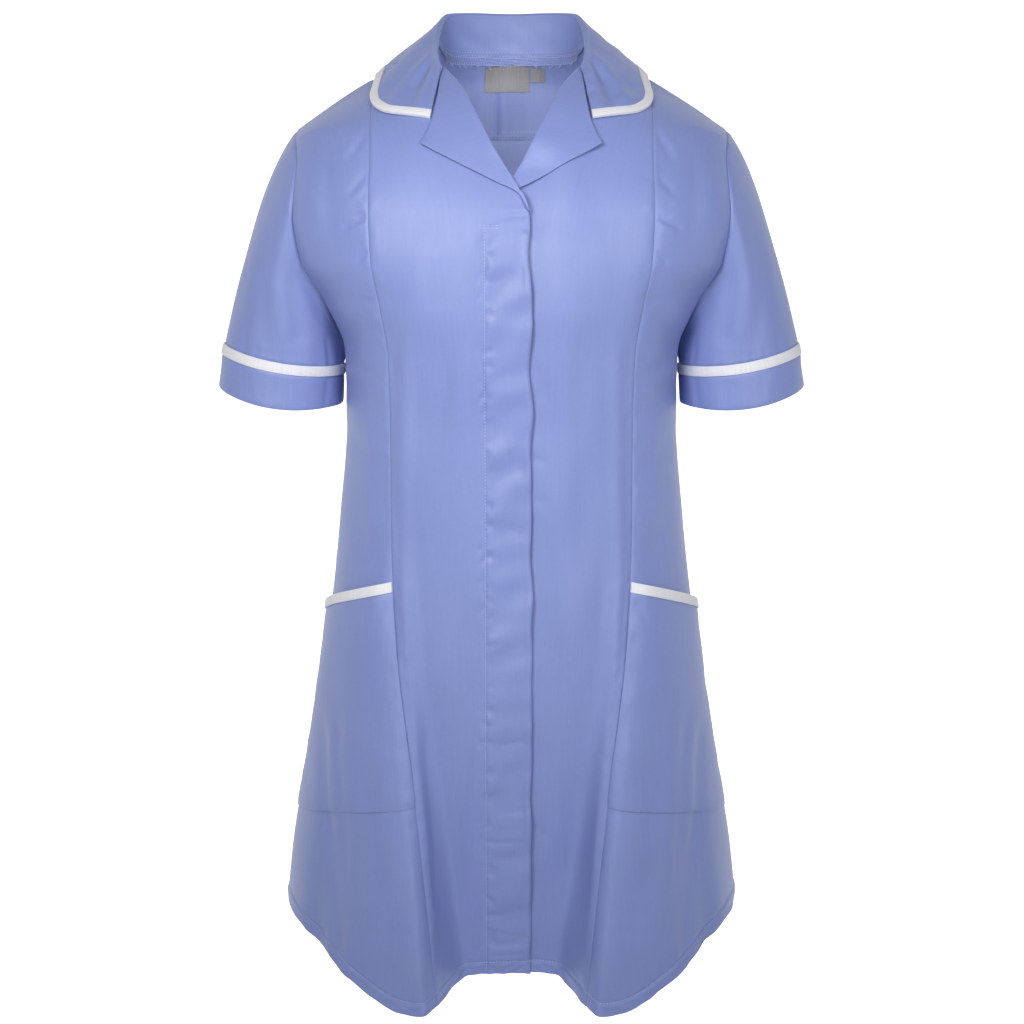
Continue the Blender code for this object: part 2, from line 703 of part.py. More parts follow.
def on_front(x, z):
    """Point and normal of the front form at a distance from the centre and a height."""
    height = z
    share = x / HALF_CHEST
    for _ in range(SEARCH_STEPS):
        point = form_points("front", share, height)
        height += (z - point[2]) * SEARCH_EASING
        slope = form_points("front", share + SHARE_STEP, height)[0] - point[0]
        share += (x - point[0]) / max(slope / SHARE_STEP, LEAST_SLOPE)
        height = min(height, HIGHEST)
    return form_points("front", share, height), form_normals("front", share, height)


# Collar

def neck_seam(count):
    """Neck seam from the centre back round to the top of the roll line."""
    neck_share = share_at("back", 32, lambda x, z: x - NECK_POINT)
    back = []
    for share in np.linspace(0, neck_share, 30):
        back.append(form_points("back", share, neck_height(share)))
    front = []
    for height in np.linspace(31, -62, 50):
        point = form_points("front", front_edge_share(height, FRONT_EDGE), height)
        if point[2] > ROLL_TOP_HEIGHT:
            front.append(point)
    seam = np.array(back + front)
    length = np.concatenate([[0], np.cumsum(np.linalg.norm(np.diff(seam, axis=0), axis=1))])
    return lambda share: np.array([np.interp(share * length[-1], length, seam[:, k]) for k in range(3)])


def unit(vector):
    return vector / np.linalg.norm(vector)


def collar_section(neck, roll, edge, tree):
    """Seen face of one section, from the neck seam over the roll to the outer edge."""
    up = unit(unit(roll - neck) + unit(roll - edge))
    centre = roll - up * COLLAR_ROLL_RADIUS
    inward = unit(unit(neck - centre) - unit(edge - centre))
    inward = unit(inward - up * np.dot(inward, up))
    points = []
    first = centre + inward * COLLAR_ROLL_RADIUS
    for k in range(STAND_STEPS):
        points.append(neck + (first - neck) * k / STAND_STEPS)
    for k in range(ROLL_STEPS + 1):
        angle = math.pi * k / ROLL_STEPS
        points.append(centre + (inward * math.cos(angle) + up * math.sin(angle)) * COLLAR_ROLL_RADIUS)
    last = points[-1]
    for k in range(1, FALL_STEPS + 1):
        share = k / FALL_STEPS
        arch = (up - inward) * COLLAR_ARCH * math.sin(math.pi * share)
        point = lie_on(tree, last + (edge - last) * share + arch, COLLAR_LIFT)
        points.append(point)
    return np.array(points)


def collar_faces(tree):
    """Seen and hidden faces of the whole collar, as rows across it and columns round it."""
    seam = neck_seam(80)
    table = np.array(COLLAR_SECTIONS, float)
    shares = table[:, 0]
    steps = 1 - (1 - np.linspace(0, 1, COLLAR_HALF_COLUMNS + 1)) ** COLLAR_CROWDING
    sections = []
    for share in steps:
        values = [through(shares, table[:, k], [share])[0] for k in range(1, 7)]
        neck = seam(share) + np.array([0, 0, STAND_CLEARANCE])
        sections.append(collar_section(neck, np.array(values[:3]), np.array(values[3:]), tree))
    half = np.array(sections).transpose(1, 0, 2)
    seen = np.concatenate([mirrored(half[:, :0:-1]), half], axis=1)
    across = np.gradient(seen, axis=0)
    around = np.gradient(seen, axis=1)
    normal = np.cross(around, across)
    normal /= np.linalg.norm(normal, axis=-1, keepdims=True)
    if normal[-1, COLLAR_HALF_COLUMNS, 1] < 0:
        normal = -normal
    return seen, normal


def make_collar(home, look, tape_look, tree):
    seen, normal = collar_faces(tree)
    last = seen[-1]
    before = seen[-2]
    run = np.linalg.norm(last - before, axis=1, keepdims=True)
    toward = (before - last) / run
    width = np.minimum(COLLAR_TAPE_WIDTH, run * COLLAR_TAPE_MOST)
    tape_start = last + toward * width
    body = seen.copy()
    body[-1] = tape_start + toward * SEAM_GAP
    wall(home, "collar", body, body - normal * COLLAR_CLOTH, look)
    tape_rows = np.array([tape_start, last])
    tape_normal = np.array([normal[-1], normal[-1]])
    proud = (TAPE_CLOTH - COLLAR_CLOTH) / 2
    tape_seen = tape_rows + tape_normal * proud
    wall(home, "collar_tape", tape_seen, tape_seen - tape_normal * TAPE_CLOTH, tape_look)


# Lapels

def coons(roll, outer, top, low, rows, columns):
    """Grid between four side curves: down the roll line and from it out to the edge."""
    grid = np.zeros((rows + 1, columns + 1, 2))
    left = path_through(roll, rows + 1)
    right = path_through(outer, rows + 1)
    first = path_through(top, columns + 1)
    final = path_through(low, columns + 1)
    for j in range(rows + 1):
        a = j / rows
        for i in range(columns + 1):
            b = i / columns
            sides = left[j] * (1 - b) + right[j] * b + first[i] * (1 - a) + final[i] * a
            corners = (
                left[0] * (1 - a) * (1 - b) + right[0] * (1 - a) * b
                + left[-1] * a * (1 - b) + right[-1] * a * b)
            grid[j, i] = sides - corners
    return grid


def lapel_faces(sunk):
    """Seen and hidden faces of a lapel: the curl at the roll line and the part lying flat."""
    grid = coons(ROLL_SIDE, NOTCH_SIDE, GORGE_SIDE, LOWER_SIDE, LAPEL_ROWS, LAPEL_COLUMNS)
    rows, columns = grid.shape[:2]
    base = np.zeros((rows, columns, 3))
    normal = np.zeros((rows, columns, 3))
    for j in range(rows):
        for i in range(columns):
            base[j, i], normal[j, i] = on_front(*grid[j, i])
    if sunk:
        base -= normal * underlap(base)
    along = np.linspace(0, 1, rows)
    narrowing = ease((along - CURL_NARROWS_FROM) / CURL_NARROWS_RUN)
    radius = LAPEL_CURL_RADIUS + (LAPEL_CURL_LEAST - LAPEL_CURL_RADIUS) * narrowing
    radius = radius[:, None]
    down = np.gradient(base[:, 0], axis=0)
    opening = np.cross(normal[:, 0], down)
    opening /= np.linalg.norm(opening, axis=-1, keepdims=True)
    inward = base[:, 0] - base[:, 1]
    opening *= np.sign(np.sum(opening * inward, axis=-1, keepdims=True))
    seen = []
    hidden = []
    for k in range(CURL_STEPS):
        angle = math.pi * k / CURL_STEPS
        radial = -normal[:, 0] * math.cos(angle) + opening * math.sin(angle)
        middle = base[:, 0] + normal[:, 0] * (LAY_GAP + radius)
        seen.append(middle + radial * radius)
        hidden.append(middle + radial * (radius - LAPEL_CLOTH))
    top_lift = LAY_GAP + 2 * radius
    for i in range(columns):
        b = i / (columns - 1)
        lift = top_lift + (LAPEL_EDGE_LIFT - top_lift) * ease(b * LAPEL_FALL_RATE)
        seen.append(base[:, i] + normal[:, i] * lift)
        hidden.append(base[:, i] + normal[:, i] * (lift - LAPEL_CLOTH))
    return np.array(seen), np.array(hidden)


def make_lapels(home, look):
    seen, hidden = lapel_faces(sunk=False)
    wall(home, "right_lapel", mirrored(seen), mirrored(hidden), look)
    seen, hidden = lapel_faces(sunk=True)
    wall(home, "left_lapel", seen, hidden, look)


# Pockets

def pocket_grid(tape):
    """Under face and normals of a pocket, or of the tape along its mouth.

    Its columns are the side panel's own, moved out.
    """
    half = SEAM_GAP / 2
    rows = 1 if tape else POCKET_ROWS
    points = []
    normals = []
    for j in range(rows + 1):
        t = j / rows
        row_points = []
        row_normals = []
        for i in range(SIDE_COLUMNS + 1):
            s = i / SIDE_COLUMNS
            top = POCKET_TOP[0] + (POCKET_TOP[1] - POCKET_TOP[0]) * s
            low = POCKET_BOTTOM[0] + (POCKET_BOTTOM[1] - POCKET_BOTTOM[0]) * s
            tape_low = top - POCKET_TAPE_WIDTH
            if tape:
                height = tape_low + (top - tape_low) * t
            else:
                height = low + (tape_low - SEAM_GAP - low) * t
            start = seam_share(height, half)
            end = edge_inset("front", height, half)
            share = start + (end - start) * s
            point = form_points("front", share, height)
            normal = form_normals("front", share, height)
            near_edge = min(s, 1 - s) * POCKET_BREADTH
            down = (top - height) / (top - low)
            gape = POCKET_GAPE * ease(near_edge / POCKET_GAPE_EDGE) * (1 - ease(down / POCKET_GAPE_ENDS))
            row_points.append(point + normal * (POCKET_LAY + gape))
            row_normals.append(normal)
        points.append(row_points)
        normals.append(row_normals)
    return np.array(points), np.array(normals)


def make_pockets(home, look, tape_look):
    for name, tape, thickness, piece_look in (
            ("_pocket", False, CLOTH, look), ("_pocket_tape", True, TAPE_CLOTH, tape_look)):
        under, normals = pocket_grid(tape)
        seen = under + normals * thickness
        wall(home, "left" + name, seen, under, piece_look)
        wall(home, "right" + name, mirrored(seen), mirrored(under), piece_look)


# Labels and studs

def make_label(home, name, place, look):
    left, right, top, bottom = place
    columns = 4
    rows = 3
    seen = np.zeros((rows + 1, columns + 1, 3))
    hidden = np.zeros((rows + 1, columns + 1, 3))
    for j in range(rows + 1):
        for i in range(columns + 1):
            x = left + (right - left) * i / columns
            z = bottom + (top - bottom) * j / rows
            share = math.copysign(share_at("back", z, lambda a, b: a - abs(x)), x)
            point = form_points("back", share, z)
            normal = form_normals("back", share, z)
            hidden[j, i] = point - normal * (CLOTH + LABEL_LAY)
            seen[j, i] = hidden[j, i] - normal * LABEL_CLOTH
    wall(home, name, seen, hidden, look)


def make_studs(home, look):
    """Flat studs that hold the right front to the left one, in the gap between them."""
    depth = CLOTH + LAY_GAP + STUD_THICKNESS / 2
    for number in range(STUD_COUNT):
        height = STUD_TOP_HEIGHT - STUD_PITCH * number
        point, normal = on_front(STUD_PLACE, height)
        disc = bmesh.new()
        bmesh.ops.create_cone(
            disc, cap_ends=True, segments=20, radius1=STUD_RADIUS * MM,
            radius2=STUD_RADIUS * MM, depth=STUD_THICKNESS * MM)
        mesh_data = bpy.data.meshes.new("front_stud_" + str(number + 1))
        disc.to_mesh(mesh_data)
        disc.free()
        stud = add_piece(home, "front_stud_" + str(number + 1), mesh_data, look)
        stud.location = Vector((point - normal * depth) * MM)
        stud.rotation_mode = "QUATERNION"
        stud.rotation_quaternion = Vector(normal).to_track_quat("Z", "Y")


home = start_scene()
cloth = material("blue_cloth", CLOTH_COLOUR, 0.75)
tape = material("white_tape", TAPE_COLOUR, 0.80)
label = material("grey_label", LABEL_COLOUR, 0.60)
stud = material("pale_stud", STUD_COLOUR, 0.40)
tree = form_tree()
make_fronts(home, cloth)
make_back(home, cloth)
make_yoke(home, cloth)
make_sleeves(home, cloth, tape)
make_collar(home, cloth, tape, tree)
make_lapels(home, cloth)
make_pockets(home, cloth, tape)
make_label(home, "neck_label", NECK_LABEL, label)
make_label(home, "size_tab", SIZE_TAB, label)
make_studs(home, stud)
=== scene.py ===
"""Looks of the work tunic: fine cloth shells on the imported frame, its sewing and the studio.

The cloth's sizes are in millimetres until a mesh is made. The front faces -Y, the wearer's right
is -X.
"""
import math

import bpy
import numpy as np
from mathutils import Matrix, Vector
from mathutils.bvhtree import BVHTree


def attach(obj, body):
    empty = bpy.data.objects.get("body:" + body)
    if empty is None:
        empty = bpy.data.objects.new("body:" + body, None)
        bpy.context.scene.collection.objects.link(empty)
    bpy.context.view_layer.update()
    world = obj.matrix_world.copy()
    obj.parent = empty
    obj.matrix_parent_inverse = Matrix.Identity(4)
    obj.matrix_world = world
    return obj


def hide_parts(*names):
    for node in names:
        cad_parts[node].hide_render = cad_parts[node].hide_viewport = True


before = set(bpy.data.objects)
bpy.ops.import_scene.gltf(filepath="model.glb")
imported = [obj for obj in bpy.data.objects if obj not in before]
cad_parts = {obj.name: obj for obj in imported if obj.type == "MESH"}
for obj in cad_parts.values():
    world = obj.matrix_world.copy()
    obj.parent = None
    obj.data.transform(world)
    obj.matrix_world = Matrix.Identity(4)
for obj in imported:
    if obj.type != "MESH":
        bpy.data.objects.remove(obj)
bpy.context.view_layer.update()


# Studio, in metres: a pale floor that curves up into a wall behind, two soft lights beside the
# camera and a narrow one on the neck. A small lamp inside the tunic lights the inside of its
# back, which the photo shows as bright as the outside.

EYE = (0.0, -1.6, -0.139)
AIM = (0.0, 0.0, -0.402)
SENSOR = 36.0
LENS = 64.65
FRAME_SHIFT = 0.0005
FLOOR_HEIGHT = -1.42
FLOOR_HALF_WIDTH = 12.0
FLOOR_FRONT = -9.0
FLOOR_COLOUR = (0.90, 0.90, 0.91, 1)
WALL_DISTANCE = 3.2
WALL_TOP = 4.5
COVE_RADIUS = 1.6
COVE_STEPS = 16
GLOW_STRENGTH = 0.85
GLOW_LEAST = 0.12
GLOW_FROM = 0.3
GLOW_TO = 1.0
SOFTBOX_AIM = (0.0, 0.0, -0.35)
SOFTBOX_SPREAD = 95
WORLD_COLOUR = (0.95, 0.97, 1.0, 1)
WORLD_STRENGTH = 0.20

# Columns: name, place, width, watts, colour
SOFTBOXES = [
    ("key_light", (-0.42, -1.12, 0.16), 0.40, 2.75, (1.0, 0.99, 0.96)),
    ("fill_light", (0.55, -1.25, 0.05), 0.50, 2.20, (0.98, 0.99, 1.0)),
]
# Columns: name, place, aim, watts, beam in degrees, softness of the beam's rim, lamp radius
SPOTLIGHTS = [
    ("neck_light", (0.0, -1.2, 0.22), (0.0, 0.05, -0.085), 34.0, 7.5, 1.0, 0.12),
    ("inner_light", (0.0, -0.04, -0.205), (0.0, 0.08, -0.10), 0.6, 95.0, 0.8, 0.02),
]


def placed(name, data):
    """A new object in the scene."""
    made = bpy.data.objects.new(name, data)
    bpy.context.scene.collection.objects.link(made)
    return made


def aimed(name, data, place, aim):
    """A lamp or camera at a place, turned to look at another."""
    holder = placed(name, data)
    holder.location = place
    holder.rotation_euler = (Vector(aim) - Vector(place)).to_track_quat("-Z", "Y").to_euler()
    return holder


def add_node(tree, kind, settings, sockets):
    """A node in a tree: its settings first, then the value or the link of each socket."""
    made = tree.nodes.new(kind)
    for name, value in settings.items():
        setattr(made, name, value)
    for name, value in sockets.items():
        if isinstance(value, bpy.types.NodeSocket):
            tree.links.new(value, made.inputs[name])
        else:
            made.inputs[name].default_value = value
    return made


class Wire:
    """One output in a finish; arithmetic on it adds Math nodes."""

    def __init__(self, finish, socket):
        self.finish = finish
        self.socket = socket

    def math(self, operation, first, second):
        return self.finish.node("ShaderNodeMath", {"operation": operation}, {0: first, 1: second})

    def __add__(self, other):
        return self.math("ADD", self, other)

    def __sub__(self, other):
        return self.math("SUBTRACT", self, other)

    def __rsub__(self, other):
        return self.math("SUBTRACT", other, self)

    def __mul__(self, other):
        return self.math("MULTIPLY", self, other)

    __radd__ = __add__
    __rmul__ = __mul__


class Finish:
    """One material: node() adds any node, settings first and then its sockets."""

    def __init__(self, name, constants):
        self.material = bpy.data.materials.new(name)
        self.material.use_nodes = True
        self.tree = self.material.node_tree
        self.shader = self.tree.nodes["Principled BSDF"]
        for socket, value in constants.items():
            self.shader.inputs[socket].default_value = value

    def node(self, kind, settings, sockets, output=0):
        plain = {}
        for name, value in sockets.items():
            plain[name] = value.socket if isinstance(value, Wire) else value
        return Wire(self, add_node(self.tree, kind, settings, plain).outputs[output])

    def feed(self, socket, wire):
        self.tree.links.new(wire.socket, self.shader.inputs[socket])

    def place(self):
        """Where the surface lies, in metres."""
        return self.node("ShaderNodeTexCoord", {}, {}, "Object")

    def speckle(self, fineness):
        """Fine noise through the surface, with about that many spots in a metre."""
        sockets = {"Vector": self.place(), "Scale": fineness, "Detail": 1.0}
        return self.node("ShaderNodeTexNoise", {}, sockets)

    def blend(self, share, dark, light):
        """A colour that lies a share of the way from dark to light."""
        sockets = {0: share, 6: dark + (1,), 7: light + (1,)}
        return self.node("ShaderNodeMix", {"data_type": "RGBA"}, sockets, 2)

    def grain(self, across, along, detail=2.0):
        """Uneven threads on the piece's own cloth map, with that many across and along a metre."""
        place = self.node("ShaderNodeUVMap", {"uv_map": "grain"}, {})
        stretched = self.node("ShaderNodeMapping", {}, {"Vector": place, "Scale": (across, along, 1)})
        sockets = {"Vector": stretched, "Scale": 1.0, "Detail": detail, "Roughness": 0.55}
        return self.node("ShaderNodeTexNoise", {"noise_dimensions": "2D"}, sockets)


def studio_cove():
    profile = [(FLOOR_FRONT, FLOOR_HEIGHT)]
    for step in range(COVE_STEPS + 1):
        turn = math.pi / 2 * step / COVE_STEPS
        profile.append((
            WALL_DISTANCE - COVE_RADIUS + COVE_RADIUS * math.sin(turn),
            FLOOR_HEIGHT + COVE_RADIUS * (1 - math.cos(turn))))
    profile.append((WALL_DISTANCE, WALL_TOP))
    verts = [(side * FLOOR_HALF_WIDTH, y, z) for y, z in profile for side in (-1, 1)]
    faces = [(2 * k, 2 * k + 1, 2 * k + 3, 2 * k + 2) for k in range(len(profile) - 1)]
    mesh = bpy.data.meshes.new("studio_floor")
    mesh.from_pydata(verts, [], faces)
    mesh.shade_smooth()
    paint = Finish("pale_floor", {
        "Base Color": FLOOR_COLOUR, "Roughness": 0.9, "Emission Strength": GLOW_STRENGTH})
    distance = paint.node("ShaderNodeSeparateXYZ", {}, {0: paint.place()}, "Y")
    paint.feed("Emission Color", paint.node("ShaderNodeMapRange", {}, {
        "Value": distance, "From Min": GLOW_FROM, "From Max": GLOW_TO, "To Min": GLOW_LEAST}))
    mesh.materials.append(paint.material)
    placed("studio_floor", mesh)


studio_cove()
for name, place, width, watts, colour in SOFTBOXES:
    lamp = bpy.data.lights.new(name, "AREA")
    lamp.size = width
    lamp.energy = watts
    lamp.color = colour
    lamp.spread = math.radians(SOFTBOX_SPREAD)
    aimed(name, lamp, place, SOFTBOX_AIM)
for name, place, aim, watts, beam, softness, radius in SPOTLIGHTS:
    lamp = bpy.data.lights.new(name, "SPOT")
    lamp.energy = watts
    lamp.spot_size = math.radians(beam)
    lamp.spot_blend = softness
    lamp.shadow_soft_size = radius
    aimed(name, lamp, place, aim)
world = bpy.data.worlds.new("studio_world")
world.use_nodes = True
sky = world.node_tree.nodes["Background"]
sky.inputs["Color"].default_value = WORLD_COLOUR
sky.inputs["Strength"].default_value = WORLD_STRENGTH
bpy.context.scene.world = world
bpy.context.scene.view_settings.view_transform = "Standard"
lens = bpy.data.cameras.new("photo_camera")
lens.sensor_width = SENSOR
lens.lens = LENS
lens.shift_x = FRAME_SHIFT
bpy.context.scene.camera = aimed("photo_camera", lens, EYE, AIM)


# Centre fronts: two poly-cotton panels from shoulder to hem. The wearer's right one laps over
# the left one and hides its fastening behind a stitched placket; both turn out into lapels.
# The form below is the frame's own, worked out again, so that the cloth lies where it does.

MM = 0.001
CLOTH = 0.8
SHARP_ANGLE = 62
SEAM_GAP = 0.36
LAY_GAP = 0.35

# In thread widths: how long a thread stays even, and how wide and long a slub is
THREAD_RUN = 14
SLUB_WIDTH = 3.2
SLUB_RUN = 80

# Clouds of shade in a metre, across and along
CLOUDS = (16, 11)

# A slow uneven field adds this many waves; a pressed crease fades out towards its ends
WAVES = 9
WAVES_HEIGHT = 3.4
CREASE_FADE = 4
CREASE_END = 0.35

# Columns: height, edge height, depth, full width, squareness, width at the edge, princess
# seam, recess of the centre panel, dip of the hem
FRONT_LEVELS = [
    (-785, -748, 181.0, 202.5, 2.00, 202.5, 62.0, 73.0, 13.0),
    (-700, -696, 165.0, 196.5, 2.08, 196.5, 71.5, 49.0, 2.0),
    (-600, -600, 149.0, 178.8, 2.15, 178.8, 83.0, 26.0, 0.0),
    (-500, -500, 135.0, 161.5, 2.22, 161.5, 95.0, 10.0, 0.0),
    (-400, -400, 122.5, 149.8, 2.30, 149.8, 100.0, 2.0, 0.0),
    (-320, -320, 121.0, 143.2, 2.35, 143.2, 100.0, 0.0, 0.0),
    (-258, -262, 126.0, 143.6, 2.40, 143.6, 101.0, 0.0, 0.0),
    (-216, -217, 129.0, 161.0, 2.40, 157.0, 107.0, 0.0, 0.0),
    (-179, -180, 127.0, 187.0, 2.50, 176.0, 113.5, 0.0, 0.0),
    (-142, -143, 121.0, 198.0, 2.50, 181.0, 115.0, 0.0, 0.0),
    (-98, -99, 104.0, 190.0, 2.50, 178.5, 114.5, 0.0, 0.0),
    (-62, -81, 78.0, 185.5, 2.50, 181.5, 115.5, 0.0, 0.0),
    (32, -72, 0.0, 185.5, 2.50, 183.0, 116.0, 0.0, 0.0),
]
BACK_LEVELS = [
    (-785, -748, 134.0, 202.5, 2.10, 202.5),
    (-700, -696, 124.0, 196.5, 2.12, 196.5),
    (-600, -600, 113.0, 178.8, 2.18, 178.8),
    (-500, -500, 101.0, 161.5, 2.25, 161.5),
    (-400, -400, 87.0, 149.8, 2.30, 149.8),
    (-320, -320, 90.0, 143.2, 2.35, 143.2),
    (-258, -262, 101.0, 143.6, 2.40, 143.6),
    (-216, -223, 107.0, 171.0, 2.40, 163.0),
    (-179, -191, 109.0, 197.0, 2.50, 176.0),
    (-142, -161, 109.0, 208.0, 2.50, 181.0),
    (-98, -131, 103.0, 205.0, 2.50, 180.0),
    (-62, -102, 92.0, 192.0, 2.50, 178.5),
    (-30, -83, 78.0, 185.5, 2.50, 181.5),
    (32, -72, 0.0, 185.5, 2.50, 183.0),
]
HEM_CURVE_TOP = -500
HEM_CURVE_START = 0.30
HEM_CURVE_RUN = 0.52
RECESS_INSIDE = 25.0
RECESS_RUN = 37.0
DROP_PLACE = 22.0
DROP_SPREAD = 40.0
SHOULDER_SEAM_BACK = 18.0
SHOULDER_TIP_BACK = 0.0
SHOULDER_BLEND = 40.0
SHOULDER_ARCH = 5.2
SHARE_STEP = 0.004
HEIGHT_STEP = 1.0
SEARCHED_SHARES = np.linspace(-0.35, 1.0, 541)

# Columns: form, place as a share of the way to the side, spread, depth at the hem, top
FOLDS = [
    ("front", 0.62, 0.050, -4.0, -600),
    ("front", 0.48, 0.045, 2.0, -640),
    ("back", 0.16, 0.090, 9.0, -420),
    ("back", 0.36, 0.090, -8.0, -460),
    ("back", 0.57, 0.090, 8.0, -430),
    ("back", 0.79, 0.075, -6.0, -520),
]
NECK_POINT = 62.0

# Columns: height, distance from the centre
NECK_EDGE = [
    (-128, -9.0), (-115, 0.0), (-89, 16.9), (-66, 28.8), (-44, 40.5), (-23, 58.0), (-12, 61.0),
    (-3, 62.0), (60, 62.0),
]
FRONT_EDGE = [(-800, -16.5), (-300, -16.5), (-142, -14.0)] + NECK_EDGE
UNDER_EDGE = [(-800, -21.5), (-170, -21.5), (-142, -16.0)] + NECK_EDGE
UNDERLAP_DEPTH = 3.3
UNDERLAP_FLAT = 18.0
UNDERLAP_RAMP = 34.0
NECK_UNDERLAP_DEPTH = 5.6
NECK_UNDERLAP_FROM = -168.0
NECK_UNDERLAP_RUN = 28.0
UNDERLAP_TOP = -84.0
UNDERLAP_FADE = 24.0
HEM_LEVEL = -785
TOP_LEVEL = 32


def between(start, leave, end, arrive, t):
    """Smooth way from start to end that leaves and arrives at given rates."""
    return (
        start * (2 * t**3 - 3 * t**2 + 1) + leave * (t**3 - 2 * t**2 + t)
        + end * (3 * t**2 - 2 * t**3) + arrive * (t**3 - t**2))


def through(knots, values, at):
    """Smooth curve through values at the knots that never overshoots them, read at places."""
    knots = np.asarray(knots, float)
    values = np.asarray(values, float)
    at = np.atleast_1d(np.asarray(at, float))
    if values.ndim == 1:
        values = values[:, None] + np.zeros(len(at))
    flat = values.reshape(len(knots), len(at), -1)
    step = np.diff(knots)[:, None, None]
    slope = np.diff(flat, axis=0) / step
    before, after = slope[:-1], slope[1:]
    weight_before = 2 * step[1:] + step[:-1]
    weight_after = step[1:] + 2 * step[:-1]
    same_way = before * after > 0
    safe_before = np.where(same_way, before, 1)
    safe_after = np.where(same_way, after, 1)
    mean = (weight_before + weight_after) / (weight_before / safe_before + weight_after / safe_after)
    tangent = np.empty_like(flat)
    tangent[0] = slope[0]
    tangent[-1] = slope[-1]
    tangent[1:-1] = np.where(same_way, mean, 0)
    span = np.clip(np.searchsorted(knots, at, side="right") - 1, 0, len(knots) - 2)
    column = np.arange(len(at))
    width = (knots[span + 1] - knots[span])[:, None]
    t = (at - knots[span])[:, None] / width
    start, end = flat[span, column], flat[span + 1, column]
    leave, arrive = tangent[span, column] * width, tangent[span + 1, column] * width
    inside = between(start, leave, end, arrive, t)
    result = np.where(t < 0, start + leave * t, np.where(t > 1, end + arrive * (t - 1), inside))
    return result.reshape((len(at),) + values.shape[2:])


def ease(t):
    t = np.clip(t, 0, 1)
    return t * t * (3 - 2 * t)


def ridge(value, place, width):
    """A smooth ridge of height 1 where a value passes a place."""
    return np.exp(-((value - place) / width) ** 2)


def level_curves(levels, share, facing):
    """The section at every level, at the given shares of the way from centre to edge."""
    across = np.abs(share)
    curves = []
    for height, edge_height, depth, width, square, edge in [row[:6] for row in levels]:
        cut = edge / width
        end = math.atan2(cut, max(1 - cut**square, 0) ** (1 / square))
        sine = np.sin(across * end)
        cosine = np.maximum(np.cos(across * end), 0)
        radius = (sine**square + cosine**square) ** (-1 / square)
        x = width * sine * radius
        y = facing * depth * cosine * radius
        curved = ease((across - HEM_CURVE_START) / HEM_CURVE_RUN)
        rise = across**2 if height > HEM_CURVE_TOP else curved
        z = height + (edge_height - height) * rise
        if depth == 0:
            y = SHOULDER_SEAM_BACK + (SHOULDER_TIP_BACK - SHOULDER_SEAM_BACK) * x / edge
            along = np.clip((x - NECK_POINT) / (edge - NECK_POINT), 0, 1)
            z = height + (edge_height - height) * x / edge + SHOULDER_ARCH * np.sin(math.pi * along)
        curves.append(np.stack([x * np.sign(share), y, z], -1))
    return np.array(curves)


def form_points(form, share, height):
    """Points of the front or back form at shares of the half width and heights."""
    share, height = np.broadcast_arrays(np.asarray(share, float), np.asarray(height, float))
    flat_share, flat_height = share.ravel(), height.ravel()
    levels = FRONT_LEVELS if form == "front" else BACK_LEVELS
    knots = [row[0] for row in levels]
    facing = -1 if form == "front" else 1
    points = through(knots, level_curves(levels, flat_share, facing), flat_height)
    outward = points * (1, 1, 0)
    outward /= np.linalg.norm(outward, axis=1, keepdims=True) + 1e-9
    for kind, place, spread, depth, top in FOLDS:
        if kind == form:
            strength = depth * ease((top - flat_height) / (top - knots[0]))
            points += outward * (strength * ridge(np.abs(flat_share), place, spread))[:, None]
    if form == "front":
        seam, recess, drop = (through(knots, [row[k] for row in levels], flat_height) for k in (6, 7, 8))
        beyond = np.abs(points[:, 0]) - seam
        points[:, 1] += np.maximum(recess, 0) * (1 - ease((beyond + RECESS_INSIDE) / RECESS_RUN))
        points[:, 2] -= np.maximum(drop, 0) * ridge(beyond, DROP_PLACE, DROP_SPREAD)
    return points.reshape(share.shape + (3,))


def unit(vectors):
    return vectors / (np.linalg.norm(vectors, axis=-1, keepdims=True) + 1e-12)


def own_normals(form, share, height):
    across = form_points(form, share + SHARE_STEP, height) - form_points(form, share - SHARE_STEP, height)
    upward = form_points(form, share, height + HEIGHT_STEP) - form_points(form, share, height - HEIGHT_STEP)
    return unit(np.cross(across, upward) if form == "front" else np.cross(upward, across))


def form_normals(form, share, height):
    """Outward normals that the front and back forms share along the shoulder seam."""
    share, height = np.broadcast_arrays(np.asarray(share, float), np.asarray(height, float))
    own = own_normals(form, share, height)
    top = TOP_LEVEL + 0 * height
    shared = unit(own_normals("front", share, top) + own_normals("back", share, top))
    nearness = ease((height - (TOP_LEVEL - SHOULDER_BLEND)) / SHOULDER_BLEND)[..., None]
    return unit(own * (1 - nearness) + shared * nearness)


def crossing(places, value, which, otherwise):
    """The first (0) or last (-1) of the places where a value rises through zero."""
    rising = np.where((value[:-1] < 0) & (value[1:] >= 0))[0]
    if len(rising) == 0:
        return otherwise
    k = rising[which]
    return places[k] - value[k] / (value[k + 1] - value[k]) * (places[k + 1] - places[k])


def share_at(form, height, wanted):
    """The share at which wanted(x, z) crosses zero, on one row of the form."""
    points = form_points(form, SEARCHED_SHARES, height)
    return crossing(SEARCHED_SHARES, wanted(points[:, 0], points[:, 2]), -1, 1.0)


def seam_share(height, shift):
    """Share of the princess seam on a front row, moved outwards by a shift."""
    knots = [row[0] for row in FRONT_LEVELS]
    place = through(knots, [row[6] for row in FRONT_LEVELS], [height])[0]
    return share_at("front", height, lambda x, z: x - (place + shift))


def front_edge_share(height, table):
    knots, distances = [row[0] for row in table], [row[1] for row in table]
    return share_at("front", height, lambda x, z: x - np.interp(z, knots, distances))


def edge_inset(form, height, inset):
    """The share that lies a small distance in from the form's outer edge."""
    step = form_points(form, 1.0, height) - form_points(form, 0.99, height)
    return 1.0 - inset * 0.01 / np.linalg.norm(step)


